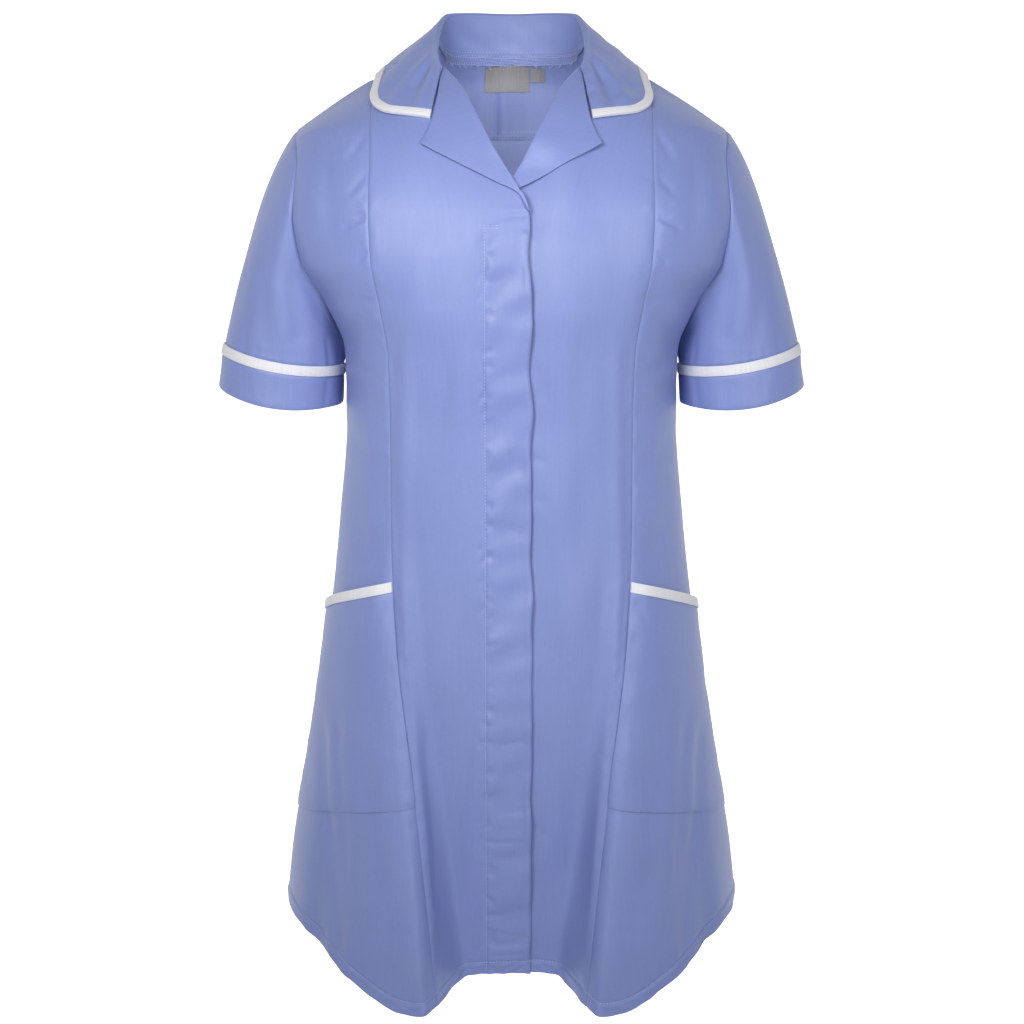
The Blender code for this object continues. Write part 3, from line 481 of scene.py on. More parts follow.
def underlap(points):
    """How far the left front sinks, so that it and its lapel pass under the right one."""
    x, z = points[..., 0], points[..., 2]
    at_neck = ease((z - NECK_UNDERLAP_FROM) / NECK_UNDERLAP_RUN)
    depth = UNDERLAP_DEPTH + (NECK_UNDERLAP_DEPTH - UNDERLAP_DEPTH) * at_neck
    below_crossing = ease((UNDERLAP_TOP - z) / UNDERLAP_FADE)
    return (depth * below_crossing * (1 - ease((x - UNDERLAP_FLAT) / UNDERLAP_RAMP)))[..., None]


def woven(name, dark, light, roughness, sheen, thread, weave_depth, streaks):
    """Plain woven cloth: warp and weft of uneven threads, slubs, and slow changes of shade."""
    finish = Finish(name, {
        "Roughness": roughness, "Sheen Weight": sheen, "Sheen Roughness": 0.45,
        "Sheen Tint": (0.90, 0.93, 1.0, 1), "Specular IOR Level": 0.55})
    threads = 1000 / thread
    warp = finish.grain(threads, threads / THREAD_RUN)
    weft = finish.grain(threads / THREAD_RUN, threads)
    slub = finish.grain(threads / SLUB_WIDTH, threads / SLUB_RUN, 3.0)
    cloud = finish.grain(*CLOUDS, 3.0)
    uneven = (warp - 0.5) * 1.1 + (weft - 0.5) * 0.8 + (slub - 0.5) * 0.9 + (cloud - 0.5) * 0.7
    finish.feed("Base Color", finish.blend(0.5 + streaks * uneven, dark, light))
    finish.feed("Roughness", roughness - 0.10 * (slub - 0.5))
    sockets = {"Height": warp + weft, "Strength": 0.5, "Distance": weave_depth * MM}
    finish.feed("Normal", finish.node("ShaderNodeBump", {}, sockets))
    return finish.material


cloth = woven(
    "blue_cloth_weave", (0.184, 0.236, 0.520), (0.228, 0.287, 0.596), 0.50, 0.05, 0.55, 0.05, 0.55)


def across_distance(points):
    """Distances of each point from the first and the last column, along its row."""
    steps = np.linalg.norm(np.diff(points, axis=1), axis=-1)
    from_first = np.concatenate([np.zeros((len(points), 1)), np.cumsum(steps, axis=1)], axis=1)
    return from_first, from_first[:, -1:] - from_first


def down_distance(points):
    """Distance of each point from the first one, along its line or its column of a grid."""
    steps = np.linalg.norm(np.diff(points, axis=0), axis=-1)
    return np.concatenate([np.zeros_like(steps[:1]), np.cumsum(steps, axis=0)])


def grain_map(seen, ring):
    """Distances in metres across each row from its middle, and up each column."""
    wrapped = np.concatenate([seen, seen[:, :1]], axis=1) if ring else seen
    across = across_distance(wrapped)[0]
    across -= across[:, -1:] / 2
    return np.stack([across, down_distance(wrapped)], -1) * MM


def shell(name, seen, hidden, look, ring=False):
    """A closed cloth wall between its seen face and its hidden face, two grids of points."""
    rows, columns = seen.shape[:2]
    spans = columns if ring else columns - 1
    grain = grain_map(seen, ring)
    j, i = (part.ravel() for part in np.meshgrid(np.arange(rows - 1), np.arange(spans), indexing="ij"))
    under = rows * columns
    along, down = np.arange(spans), np.arange(rows - 1)
    bottom, top = 0 * along, 0 * along + rows - 1
    first, last = 0 * down, 0 * down + columns - 1
    quads = [
        ((j, i, 0), (j, i + 1, 0), (j + 1, i + 1, 0), (j + 1, i, 0)),
        ((j, i + 1, 1), (j, i, 1), (j + 1, i, 1), (j + 1, i + 1, 1)),
        ((bottom, along + 1, 0), (bottom, along, 0), (bottom, along, 1), (bottom, along + 1, 1)),
        ((top, along, 0), (top, along + 1, 0), (top, along + 1, 1), (top, along, 1)),
    ]
    if not ring:
        quads.append(((down, first, 0), (down + 1, first, 0), (down + 1, first, 1), (down, first, 1)))
        quads.append(((down + 1, last, 0), (down, last, 0), (down, last, 1), (down + 1, last, 1)))
    faces = np.concatenate([
        np.stack([row * columns + column % columns + side * under for row, column, side in quad], 1)
        for quad in quads])
    places = np.concatenate([
        np.stack([grain[row, column] for row, column, side in quad], 1) for quad in quads])
    verts = np.concatenate([seen.reshape(-1, 3), hidden.reshape(-1, 3)]) * MM
    a, b, c, d = (verts[faces[:, k]] for k in range(4))
    volume = np.sum(a * np.cross(b, c)) + np.sum(a * np.cross(c, d))
    if volume < 0:
        faces, places = faces[:, ::-1], places[:, ::-1]
    mesh = bpy.data.meshes.new(name)
    mesh.from_pydata(verts.tolist(), [], faces.tolist())
    layer = mesh.uv_layers.new(name="grain")
    layer.data.foreach_set("uv", np.ascontiguousarray(places).reshape(-1))
    mesh.materials.append(look)
    mesh.shade_smooth()
    mesh.set_sharp_from_angle(angle=math.radians(SHARP_ANGLE))
    return placed(name, mesh)


def dress(piece, slot, *nodes):
    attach(piece, "root")
    if nodes:
        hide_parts(*nodes)
    return piece


def wander(a, b, size, seed):
    """Smooth uneven field of about -1 to 1 over places (a, b), with features of a given size."""
    chance = np.random.default_rng(seed)
    total = 0 * a
    for _ in range(WAVES):
        turn = chance.uniform(0, 2 * math.pi)
        length = size * chance.uniform(0.7, 1.7)
        phase = chance.uniform(0, 2 * math.pi)
        total = total + np.sin((a * math.cos(turn) + b * math.sin(turn)) * 2 * math.pi / length + phase)
    return total / WAVES_HEIGHT


def pressed(places, strokes):
    """Height of listed creases over places: each stroke has two ends, a depth and a width."""
    size = places.shape[-1]
    total = np.zeros(places.shape[:-1])
    for stroke in strokes:
        start, end = np.array(stroke[:size]), np.array(stroke[size:2 * size])
        depth, width = stroke[2 * size:]
        run = end - start
        share = np.clip(((places - start) @ run) / (run @ run), 0, 1)
        away = np.linalg.norm(places - start - share[..., None] * run, axis=-1)
        fade = np.clip(np.minimum(share, 1 - share) * CREASE_FADE + CREASE_END, 0, 1)
        total += depth * fade * ridge(away, 0, width)
    return total


def settled(distance, reach=6.0):
    """How free the cloth is of a seam at some distance from it: nothing at the seam itself."""
    return 1 - ridge(distance, 0, reach)


def sewn_edge(distance, along, seed, sink=0.55, soft=1.0):
    """A seam's rolled edge with the uneven pucker of the cloth beside it."""
    pucker = wander(along, 0 * along, 17.0, seed) * 0.30 * ridge(distance, 5.0, 4.0)
    return pucker * settled(distance, 2.0) - sink * ridge(distance, 0, soft)


def hemmed(up, along, seed):
    """A turned hem: doubled below its stitch line, with the slanting pull of the fold."""
    roping = wander(along + up * 1.6, up * 0.4, 13.0, seed) * 0.75 * ease(1 - up / (HEM_DEPTH + 3))
    pulled = wander(along, up * 0.3, 9.0, seed + 50) * 0.30 * ridge(up, HEM_DEPTH + 2, 4.0)
    doubled = 0.45 * ease((HEM_DEPTH - up) / 2.0)
    return roping + pulled + doubled - 0.80 * ridge(up, HEM_DEPTH, 1.0)


def walls(points, normals, relief, thickness=CLOTH):
    """Seen and hidden face of a cloth that stands off a form by a relief."""
    seen = points + normals * relief[..., None]
    return seen, seen - normals * thickness


def eased_shares(count):
    """Shares from 0 to 1 that crowd a little towards both ends."""
    t = np.linspace(0, 1, count)
    return 0.55 * t + 0.45 * (1 - np.cos(math.pi * t)) / 2


def stitch_tree(look):
    """Geometry nodes that lay one stitch after another along a curve."""
    tree = bpy.data.node_groups.new("stitches", "GeometryNodeTree")
    tree.interface.new_socket("Geometry", in_out="OUTPUT", socket_type="NodeSocketGeometry")
    tree.interface.new_socket("Lines", in_out="INPUT", socket_type="NodeSocketGeometry")
    for name in ("Pitch", "Length", "Thickness", "Unevenness"):
        tree.interface.new_socket(name, in_out="INPUT", socket_type="NodeSocketFloat")

    def add(kind, settings, sockets):
        return add_node(tree, kind, settings, sockets).outputs

    given = add("NodeGroupInput", {}, {})
    spaced = add("GeometryNodeResampleCurve", {"mode": "LENGTH"}, {
        "Curve": given["Lines"], "Length": given["Pitch"]})
    sway = add("FunctionNodeRandomValue", {"data_type": "FLOAT_VECTOR"}, {
        0: (-1, -1, -1), 1: (1, 1, 1), "Seed": STITCH_SEED})
    swayed = add("ShaderNodeVectorMath", {"operation": "SCALE"}, {
        0: sway[0], "Scale": given["Unevenness"]})
    tangent = add("GeometryNodeInputTangent", {}, {})
    heading = add("ShaderNodeVectorMath", {"operation": "ADD"}, {0: tangent[0], 1: swayed[0]})
    turned = add("FunctionNodeAlignRotationToVector", {"axis": "Z"}, {"Vector": heading[0]})
    grown = add("ShaderNodeCombineXYZ", {}, {
        0: given["Thickness"], 1: given["Thickness"], 2: given["Length"]})
    stitch = add("GeometryNodeMeshIcoSphere", {}, {"Radius": 0.5, "Subdivisions": 1})
    laid = add("GeometryNodeInstanceOnPoints", {}, {
        "Points": spaced["Curve"], "Instance": stitch["Mesh"], "Rotation": turned[0],
        "Scale": grown[0]})
    real = add("GeometryNodeRealizeInstances", {}, {0: laid[0]})
    smooth = add("GeometryNodeSetShadeSmooth", {}, {0: real[0]})
    coloured = add("GeometryNodeSetMaterial", {}, {0: smooth[0], "Material": look})
    add("NodeGroupOutput", {}, {0: coloured[0]})
    return tree


def drawn(name, lines):
    """A curve of straight steps through lines of points."""
    curve = bpy.data.curves.new(name, "CURVE")
    curve.dimensions = "3D"
    for line in lines:
        spline = curve.splines.new("POLY")
        spline.points.add(len(line) - 1)
        spline.points.foreach_set("co", np.concatenate([line * MM, np.ones((len(line), 1))], 1).ravel())
    return placed(name + "_line", curve)


def made_plain(name, holder, look, slot):
    """The curve as it is evaluated, made a plain mesh on an object of its own."""
    evaluated = holder.evaluated_get(bpy.context.evaluated_depsgraph_get())
    solid = bpy.data.meshes.new_from_object(evaluated)
    holder.modifiers.clear()
    bpy.data.objects.remove(holder)
    solid.materials.clear()
    solid.materials.append(look)
    return dress(placed(name, solid), slot)


def stitched(name, lines, tree, slot="blue_cloth", pitch=2.8, length=2.0, thickness=0.65):
    """Lockstitches along lines of points."""
    holder = drawn(name, lines)
    modifier = holder.modifiers.new("stitches", "NODES")
    modifier.node_group = tree
    sizes = {
        "Pitch": pitch * MM, "Length": length * MM, "Thickness": thickness * MM,
        "Unevenness": STITCH_UNEVENNESS}
    for socket in tree.interface.items_tree:
        if socket.name in sizes and socket.in_out == "INPUT":
            modifier[socket.identifier] = sizes[socket.name]
    look = tree.nodes["Set Material"].inputs["Material"].default_value
    return made_plain(name, holder, look, slot)


def read_along(at, way, values):
    """Rows of values read again at other places on their way."""
    return np.stack([np.interp(at, way, values[:, k]) for k in range(3)], -1)


def line_up(seen, normals, value, wanted):
    """The line up a panel along which a value, rising over its columns, reaches what is wanted."""
    spots = seen + normals * STITCH_LIFT
    return np.array([read_along(wanted, row, spot) for row, spot in zip(value, spots)])


def line_across(seen, normals, value, wanted):
    """The line across a panel along which a value, rising over its rows, reaches what is wanted."""
    return line_up(seen.transpose(1, 0, 2), normals.transpose(1, 0, 2), value.T, wanted)


STITCH_SEED = 5
STITCH_UNEVENNESS = 0.10
STITCH_LIFT = 0.10
THREAD_TWIST = 700.0
thread = Finish("blue_thread", {"Roughness": 0.5, "Sheen Weight": 0.2, "Specular IOR Level": 0.5})
twisted = thread.blend(thread.speckle(THREAD_TWIST), (0.34, 0.41, 0.72), (0.50, 0.57, 0.84))
thread.feed("Base Color", twisted)
blue_stitches = stitch_tree(thread.material)
HEM_DEPTH = 11.0
HEM_ROWS_TOP = HEM_LEVEL + 25
CHEST_ROWS_LOW = -240
FINE_HEIGHTS = np.concatenate([
    np.linspace(HEM_LEVEL, HEM_ROWS_TOP, 21)[:-1],
    np.linspace(HEM_ROWS_TOP, CHEST_ROWS_LOW, 246)[:-1],
    np.linspace(CHEST_ROWS_LOW, TOP_LEVEL, 130)])
PLACKET_COLUMNS = 92
CENTRE_COLUMNS = 60
SIDE_COLUMNS = 58
PLACKET_LINE = 21.5
PLACKET_TOP = -154.0
PLACKET_BARS = (PLACKET_TOP + 1.0, PLACKET_TOP + 3.2)
BAR_INSIDE = 10
BAR_OUTSIDE = 4
LAP_EDGE = 16.0
DIMPLE_DEPTH = 1.5
PULL_DEPTH = 0.8
BULGE = 0.1
RIPPLE_DEPTH = 1.15
DOUBLED_RISE = 0.5
EDGE_SWAY = 1.1
DEEPEST_FROM = -0.6
DEEPEST_MORE = 0.5

# Columns: distance from centre and height of both ends, depth, width
CENTRE_CREASES = [
    (86.0, -235.0, 89.0, -430.0, 1.8, 7.0),
    (89.0, -420.0, 82.5, -600.0, 2.8, 8.0),
    (82.5, -590.0, 69.5, -745.0, 3.0, 8.0),
    (34.0, -470.0, 47.5, -640.0, -2.0, 12.0),
    (60.0, -540.0, 52.0, -720.0, -2.8, 13.0),
    (54.0, -250.0, 60.0, -420.0, -1.1, 13.0),
    (38.0, -180.0, 44.0, -330.0, 0.8, 12.0),
    (70.0, -160.0, 74.0, -260.0, 0.6, 11.0),
    (30.0, -690.0, 34.0, -778.0, -1.2, 6.0),
]
PLACKET_CREASES = [
    (-13.5, -142.7, 6.0, -144.3, -1.0, 1.9),
    (6.0, -144.3, 19.4, -149.8, -0.9, 2.2),
    (-10.0, -139.0, 8.0, -141.0, 0.6, 2.6),
    (20.9, -453.9, 14.4, -458.8, -0.9, 1.8),
    (21.0, -472.2, 15.2, -468.8, -0.7, 1.8),
    (21.0, -495.5, 11.9, -491.2, -1.0, 2.0),
    (21.0, -509.0, 12.0, -512.2, -0.9, 2.0),
    (21.0, -529.3, 16.1, -527.5, -0.7, 1.8),
    (9.6, -578.3, -12.9, -574.8, -0.8, 2.6),
    (9.6, -637.3, -13.8, -635.5, -0.9, 2.6),
    (20.6, -665.3, -13.9, -663.4, -0.9, 2.4),
    (18.1, -678.9, -7.2, -677.8, -0.6, 2.4),
    (20.0, -733.1, 5.5, -730.1, -0.9, 2.0),
    (20.0, -746.2, -13.2, -751.6, -1.0, 1.4),
    (18.4, -758.3, -10.7, -755.3, -1.2, 3.6),
    (18.4, -768.6, -12.4, -766.6, -0.6, 2.0),
    (2.0, -330.0, -8.0, -352.0, -0.7, 6.0),
    (6.0, -250.0, 12.0, -262.0, -0.5, 5.0),
    (4.0, -395.0, -10.0, -402.0, -0.8, 5.0),
    (-10.0, -490.0, -14.0, -540.0, -0.9, 5.0),
    (2.0, -600.0, -8.0, -618.0, -0.9, 6.0),
]
LEFT_CREASES = [
    (19.0, -262.0, 27.0, -292.0, -0.9, 5.0),
    (17.0, -338.0, 26.0, -342.0, -0.8, 4.0),
    (18.0, -372.0, 28.0, -376.0, -0.7, 4.0),
    (20.0, -520.0, 27.0, -600.0, -0.9, 6.0),
    (17.0, -650.0, 30.0, -662.0, -0.8, 4.0),
]

SEAM_CENTRE = np.array([seam_share(h, -SEAM_GAP / 4) for h in FINE_HEIGHTS])
SEAM_SIDE = np.array([seam_share(h, SEAM_GAP / 4) for h in FINE_HEIGHTS])


def front_panel(low, high, columns):
    """Points and normals between two lines of shares, on every fine row of the front form."""
    mix = eased_shares(columns + 1)
    shares = low[:, None] + (high - low)[:, None] * mix
    heights = FINE_HEIGHTS[:, None] + 0 * mix
    return form_points("front", shares, heights), form_normals("front", shares, heights)


def mirrored(points):
    return points * (-1, 1, 1)


def placket_relief(places, from_edge, seed):
    """The stitched placket: a groove with dimples beside it, a doubled front, a full edge."""
    x, z = places[..., 0], places[..., 1]
    beyond = x - PLACKET_LINE
    dimple = wander(z, x * 0.3, 14.0, seed + 3) + 0.6 * wander(z, x, 36.0, seed + 4)
    pull = wander(z + x, x, 10.0, seed + 5)
    ripple = wander(z + x * 0.4, x * 0.5, 27.0, seed + 7)
    relief = DIMPLE_DEPTH * np.minimum(dimple, BULGE) * ridge(beyond, -3.5, 3.8)
    relief += PULL_DEPTH * np.minimum(pull, BULGE) * ridge(beyond, 3.0, 3.0)
    relief += DOUBLED_RISE * ease(-beyond / 2.0) - ridge(beyond, 0, 1.0)
    relief += RIPPLE_DEPTH * ripple * ease(-beyond / 8.0)
    relief += ridge(from_edge, 3.0, 3.0)
    relief += 0.6 * wander(z, 0 * z, 90.0, seed + 6) * ridge(from_edge, 0, 9.0)
    return pressed(places, PLACKET_CREASES) + relief * ease((PLACKET_TOP - z) / 5.0)


def centre_front(side, table):
    edge = np.array([front_edge_share(h, table) for h in FINE_HEIGHTS])
    columns = PLACKET_COLUMNS if side == "right" else CENTRE_COLUMNS
    points, normals = front_panel(edge, SEAM_CENTRE, columns)
    if side == "left":
        points = points - normals * underlap(points)
    places = points[..., [0, 2]]
    x, z = places[..., 0], places[..., 1]
    from_edge, from_seam = across_distance(points)
    up = down_distance(points)
    seed = 11 if side == "right" else 31
    relief = pressed(places, CENTRE_CREASES) + wander(x, z * 0.55, 54.0, seed) * 0.95
    relief = (relief + hemmed(up, x, seed + 2)) * settled(from_seam) + sewn_edge(from_seam, z, seed + 1)
    if side == "right":
        relief += placket_relief(places, from_edge, seed)
        too_deep = np.maximum(DEEPEST_FROM - relief, 0)
        relief += too_deep - DEEPEST_MORE * np.tanh(too_deep / DEEPEST_MORE)
    else:
        lap_mark = 0.3 + 0.6 * wander(z, 0 * z, 70.0, seed + 9)
        relief += pressed(places, LEFT_CREASES)
        relief -= lap_mark * ridge(x, LAP_EDGE, 2.2) * ease((PLACKET_TOP - z) / 20)
    relief -= 0.5 * ridge(from_edge, 0, 0.9)
    sway = wander(z, 0 * z, 46.0, seed + 8) * ridge(from_edge, 0, 8.0) * ease((PLACKET_TOP + 20 - z) / 30)
    points = points + (sway * EDGE_SWAY)[..., None] * (1, 0, 0)
    seen, hidden = walls(points, normals, relief)
    lines = [line_across(seen, normals, up, HEM_DEPTH)]
    if side == "right":
        placket = line_up(seen, normals, x, PLACKET_LINE)
        lines.append(placket[placket[:, 2] < PLACKET_TOP])
        for height in PLACKET_BARS:
            bar = np.abs(z[:, 0] - height).argmin()
            near = (x[bar] > PLACKET_LINE - BAR_INSIDE) & (x[bar] < PLACKET_LINE + BAR_OUTSIDE)
            lines.append((seen + normals * STITCH_LIFT)[bar, near])
        seen, hidden, lines = mirrored(seen), mirrored(hidden), [mirrored(line) for line in lines]
    return seen, hidden, lines


for side, table in (("right", FRONT_EDGE), ("left", UNDER_EDGE)):
    seen, hidden, lines = centre_front(side, table)
    piece = shell(side + "_front_cloth", seen, hidden, cloth)
    dress(piece, "blue_cloth", side + "_front")
    sewing = stitched(side + "_front_stitches", lines, blue_stitches)


# Side fronts: from the princess seam, which is sewn from shoulder to hem, round to the side
# seam. Small tucks pull from the seam at the bust, and soft folds fall beside the pocket.

# Columns: distance from centre and height of both ends, depth, width
SIDE_CREASES = [
    (114.5, -144.0, 136.0, -154.0, -1.3, 1.8),
    (114.5, -148.0, 134.0, -158.5, 0.7, 2.8),
    (114.0, -141.0, 128.0, -145.0, -0.8, 1.6),
    (114.3, -172.0, 126.0, -182.0, -1.0, 1.9),
    (103.0, -208.8, 118.0, -212.5, -1.0, 2.0),
    (116.6, -75.0, 131.0, -98.0, -1.0, 3.6),
    (121.0, -74.0, 138.0, -98.0, 0.5, 4.5),
    (117.0, -112.0, 131.0, -127.0, -1.0, 3.4),
    (118.0, -119.0, 134.0, -134.0, 0.5, 4.0),
    (164.0, -100.0, 160.0, -172.0, 1.2, 9.0),
    (150.0, -95.0, 148.0, -150.0, -0.9, 8.0),
    (141.0, -252.0, 118.0, -216.0, -1.0, 6.5),
    (146.0, -240.0, 126.0, -196.0, 0.9, 6.5),
    (142.0, -282.0, 110.0, -304.0, -1.2, 8.0),
    (143.0, -262.0, 112.0, -272.0, -0.8, 5.0),
    (140.0, -325.0, 112.0, -352.0, -0.9, 8.0),
    (120.0, -310.0, 116.0, -410.0, 0.9, 9.0),
    (128.0, -390.0, 118.0, -440.0, -0.9, 8.0),
    (162.0, -575.0, 157.0, -665.0, -2.6, 6.5),
    (157.0, -655.0, 146.0, -764.0, -3.6, 7.0),
    (148.0, -560.0, 145.0, -665.0, -1.9, 6.5),
    (145.0, -650.0, 139.0, -745.0, -2.4, 6.5),
    (154.0, -580.0, 150.0, -670.0, 1.2, 6.0),
    (126.0, -724.0, 133.3, -776.0, -1.0, 2.4),
    (114.0, -737.0, 88.4, -728.0, -0.5, 2.0),
    (104.0, -560.0, 98.0, -700.0, 1.1, 11.0),
    (122.0, -590.0, 116.0, -710.0, -0.9, 9.0),
    (92.0, -690.0, 84.0, -775.0, 1.0, 9.0),
    (103.0, -458.0, 111.5, -481.5, -0.7, 2.4),
]


def side_relief(points, seed):
    """Creases and folds of a side front, which a pocket on it follows."""
    places = points[..., [0, 2]]
    x, z = places[..., 0], places[..., 1]
    from_seam, from_side = across_distance(points)
    folds = wander(x - points[..., 1], z * 0.6, 50.0, seed) * 0.85 * ease(from_side / 70)
    relief = (pressed(places, SIDE_CREASES) + folds) * settled(from_seam, 4.0) * settled(from_side)
    return relief + sewn_edge(from_seam, z, seed + 1) + sewn_edge(from_side, z, seed + 2)


SIDE_EDGE = np.array([edge_inset("front", h, SEAM_GAP / 4) for h in FINE_HEIGHTS])
SIDE_SEEDS = {"right": 51, "left": 71}
for side, seed in SIDE_SEEDS.items():
    points, normals = front_panel(SEAM_SIDE, SIDE_EDGE, SIDE_COLUMNS)
    from_seam, from_side = across_distance(points)
    up = down_distance(points)
    hem = hemmed(up, points[..., 0], seed + 3) * settled(from_seam) * settled(from_side)
    seen, hidden = walls(points, normals, side_relief(points, seed) + hem)
    line = line_across(seen, normals, up, HEM_DEPTH)
    if side == "right":
        seen, hidden, line = mirrored(seen), mirrored(hidden), mirrored(line)
    piece = shell(side + "_side_front_cloth", seen, hidden, cloth)
    dress(piece, "blue_cloth", side + "_side_front")
    sewing = stitched(side + "_side_front_stitches", [line], blue_stitches)


# Back and yoke: one plain panel below a double-stitched yoke seam. Both are hidden in front
# but for the yoke's inside, which shows in the neck with a pressed crease down its middle.

BACK_NECK_HEIGHT = -12.0
NECK_POINT_HEIGHT = -3.2
BACK_NECK_STRAIGHT = 47.0
YOKE_HEIGHT = -77.0
YOKE_EDGE_DROP = 12.0
YOKE_STITCH_LINES = (2.0, 8.0)
YOKE_CREASE_REACH = 60
BACK_HALF = 62
BACK_CROWDING = math.pi / 2 * 0.9
BACK_FINE_ROWS = 200
YOKE_FINE_ROWS = 34
YOKE_NECK_COLUMNS = 40
YOKE_SHOULDER_COLUMNS = 34
SEARCHED_HEIGHTS = np.linspace(-300, TOP_LEVEL, 665)

# Columns: distance from centre and height of both ends, depth, width
BACK_CREASES = [
    (-40.0, -310.0, 30.0, -332.0, -1.1, 8.0),
    (-70.0, -352.0, 10.0, -372.0, -1.2, 9.0),
    (-10.0, -392.0, 74.0, -404.0, -1.0, 9.0),
    (135.0, -275.0, 88.0, -300.0, -1.2, 7.0),
    (-135.0, -280.0, -84.0, -312.0, -1.3, 7.0),
    (138.0, -330.0, 96.0, -372.0, -1.0, 8.0),
    (-138.0, -338.0, -92.0, -380.0, -1.0, 8.0),
    (150.0, -150.0, 118.0, -206.0, -1.2, 8.0),
    (-150.0, -154.0, -114.0, -214.0, -1.2, 8.0),
    (-30.0, -480.0, -36.0, -640.0, 1.4, 12.0),
    (44.0, -470.0, 52.0, -660.0, 1.3, 12.0),
    (-88.0, -560.0, -96.0, -740.0, -1.8, 7.0),
    (92.0, -580.0, 104.0, -750.0, -1.9, 7.0),
    (140.0, -600.0, 152.0, -745.0, -1.6, 6.0),
    (-144.0, -590.0, -156.0, -740.0, -1.6, 6.0),
    (8.0, -640.0, 6.0, -770.0, -1.2, 8.0),
]
YOKE_CREASES = [
    (-13.2, -34.0, -13.6, -74.0, 0.9, 1.5),
    (-6.0, -34.0, -5.5, -74.0, -0.9, 5.5),
    (12.0, -38.0, 15.0, -72.0, 0.5, 5.0),
    (-40.0, -30.0, -34.0, -72.0, 0.7, 7.0),
    (44.0, -30.0, 38.0, -70.0, -0.5, 7.0),
]


def height_where(share, wanted):
    """The level at which wanted(x, z) crosses zero, going up one column of the back form."""
    points = form_points("back", share, SEARCHED_HEIGHTS)
    return crossing(SEARCHED_HEIGHTS, wanted(points[:, 0], points[:, 2]), 0, TOP_LEVEL)


def back_neck_height(x):
    rise = np.clip((np.abs(x) - BACK_NECK_STRAIGHT) / (NECK_POINT - BACK_NECK_STRAIGHT), 0, 1)
    return BACK_NECK_HEIGHT + (NECK_POINT_HEIGHT - BACK_NECK_HEIGHT) * rise**3


def yoke_seam_height(share, shift):
    seam = YOKE_HEIGHT - YOKE_EDGE_DROP * share**2 + shift
    return height_where(share, lambda x, z: z - seam)


def neck_height(share):
    return height_where(share, lambda x, z: z - back_neck_height(x))


def both_ways(half):
    """Shares from one side to the other, from those of one half."""
    return np.concatenate([-half[::-1], half[1:]])


def back_points(shares, heights):
    """Points and normals of the back form, with their x, their z and the way up each column."""
    points = form_points("back", shares + 0 * heights, heights)
    normals = form_normals("back", shares + 0 * heights, heights)
    return points, normals, points[..., 0], points[..., 2], down_distance(points)


shares = both_ways(np.sin(np.linspace(0, 1, BACK_HALF + 1) * BACK_CROWDING) / math.sin(BACK_CROWDING))
seam_heights = np.array([yoke_seam_height(s, -SEAM_GAP / 4) for s in shares])
heights = HEM_LEVEL + (seam_heights - HEM_LEVEL) * np.linspace(0, 1, BACK_FINE_ROWS + 1)[:, None]
limit = np.array([edge_inset("back", h, SEAM_GAP / 4) for h in heights[:, -1]])[:, None]
points, normals, x, z, up = back_points(shares * limit, heights)
left_way, right_way = across_distance(points)
relief = pressed(points[..., [0, 2]], BACK_CREASES) + wander(x, z * 0.6, 50.0, 91) * 0.45
relief += hemmed(up, x, 95)
relief *= settled(left_way) * settled(right_way) * settled(up[-1:] - up)
relief += sewn_edge(left_way, z, 92) + sewn_edge(right_way, z, 93) + sewn_edge(up[-1:] - up, x, 94)
seen, hidden = walls(points, normals, relief)
piece = shell("back_cloth", seen, hidden, cloth)
dress(piece, "blue_cloth", "back")
sewing = stitched("back_stitches", [line_across(seen, normals, up, HEM_DEPTH)], blue_stitches)

neck_share = share_at("back", TOP_LEVEL, lambda x, z: x - NECK_POINT)
side_share = edge_inset("back", 0, SEAM_GAP / 4)
shares = both_ways(np.concatenate([
    np.linspace(0, neck_share, YOKE_NECK_COLUMNS),
    np.linspace(neck_share, side_share, YOKE_SHOULDER_COLUMNS)[1:]]))
low = np.array([yoke_seam_height(abs(s), SEAM_GAP / 4) for s in shares])
high = np.minimum([neck_height(abs(s)) for s in shares], TOP_LEVEL - SEAM_GAP / 4)
heights = low + (high - low) * np.linspace(0, 1, YOKE_FINE_ROWS + 1)[:, None]
points, normals, x, z, up = back_points(shares, heights)
relief = pressed(points[..., [0, 2]], YOKE_CREASES) * (np.abs(x) < YOKE_CREASE_REACH)
relief += wander(x, z, 40.0, 101) * 0.3 + sewn_edge(up, x, 102) + sewn_edge(up[-1:] - up, x, 103, 0.6)
seen, hidden = walls(points, normals, relief)
piece = shell("back_yoke_cloth", seen, hidden, cloth)
dress(piece, "blue_cloth", "back_yoke")
lines = [
    line_across(face, outward, up, wanted)
    for face, outward in ((seen, normals), (hidden, -normals)) for wanted in YOKE_STITCH_LINES]
sewing = stitched("back_yoke_stitches", lines, blue_stitches)


# Sleeves: short set-in sleeves with a little ease at the head, closed off by a white tape and
# a folded cuff. The cloth drags from the underarm and puckers where the tape holds it.

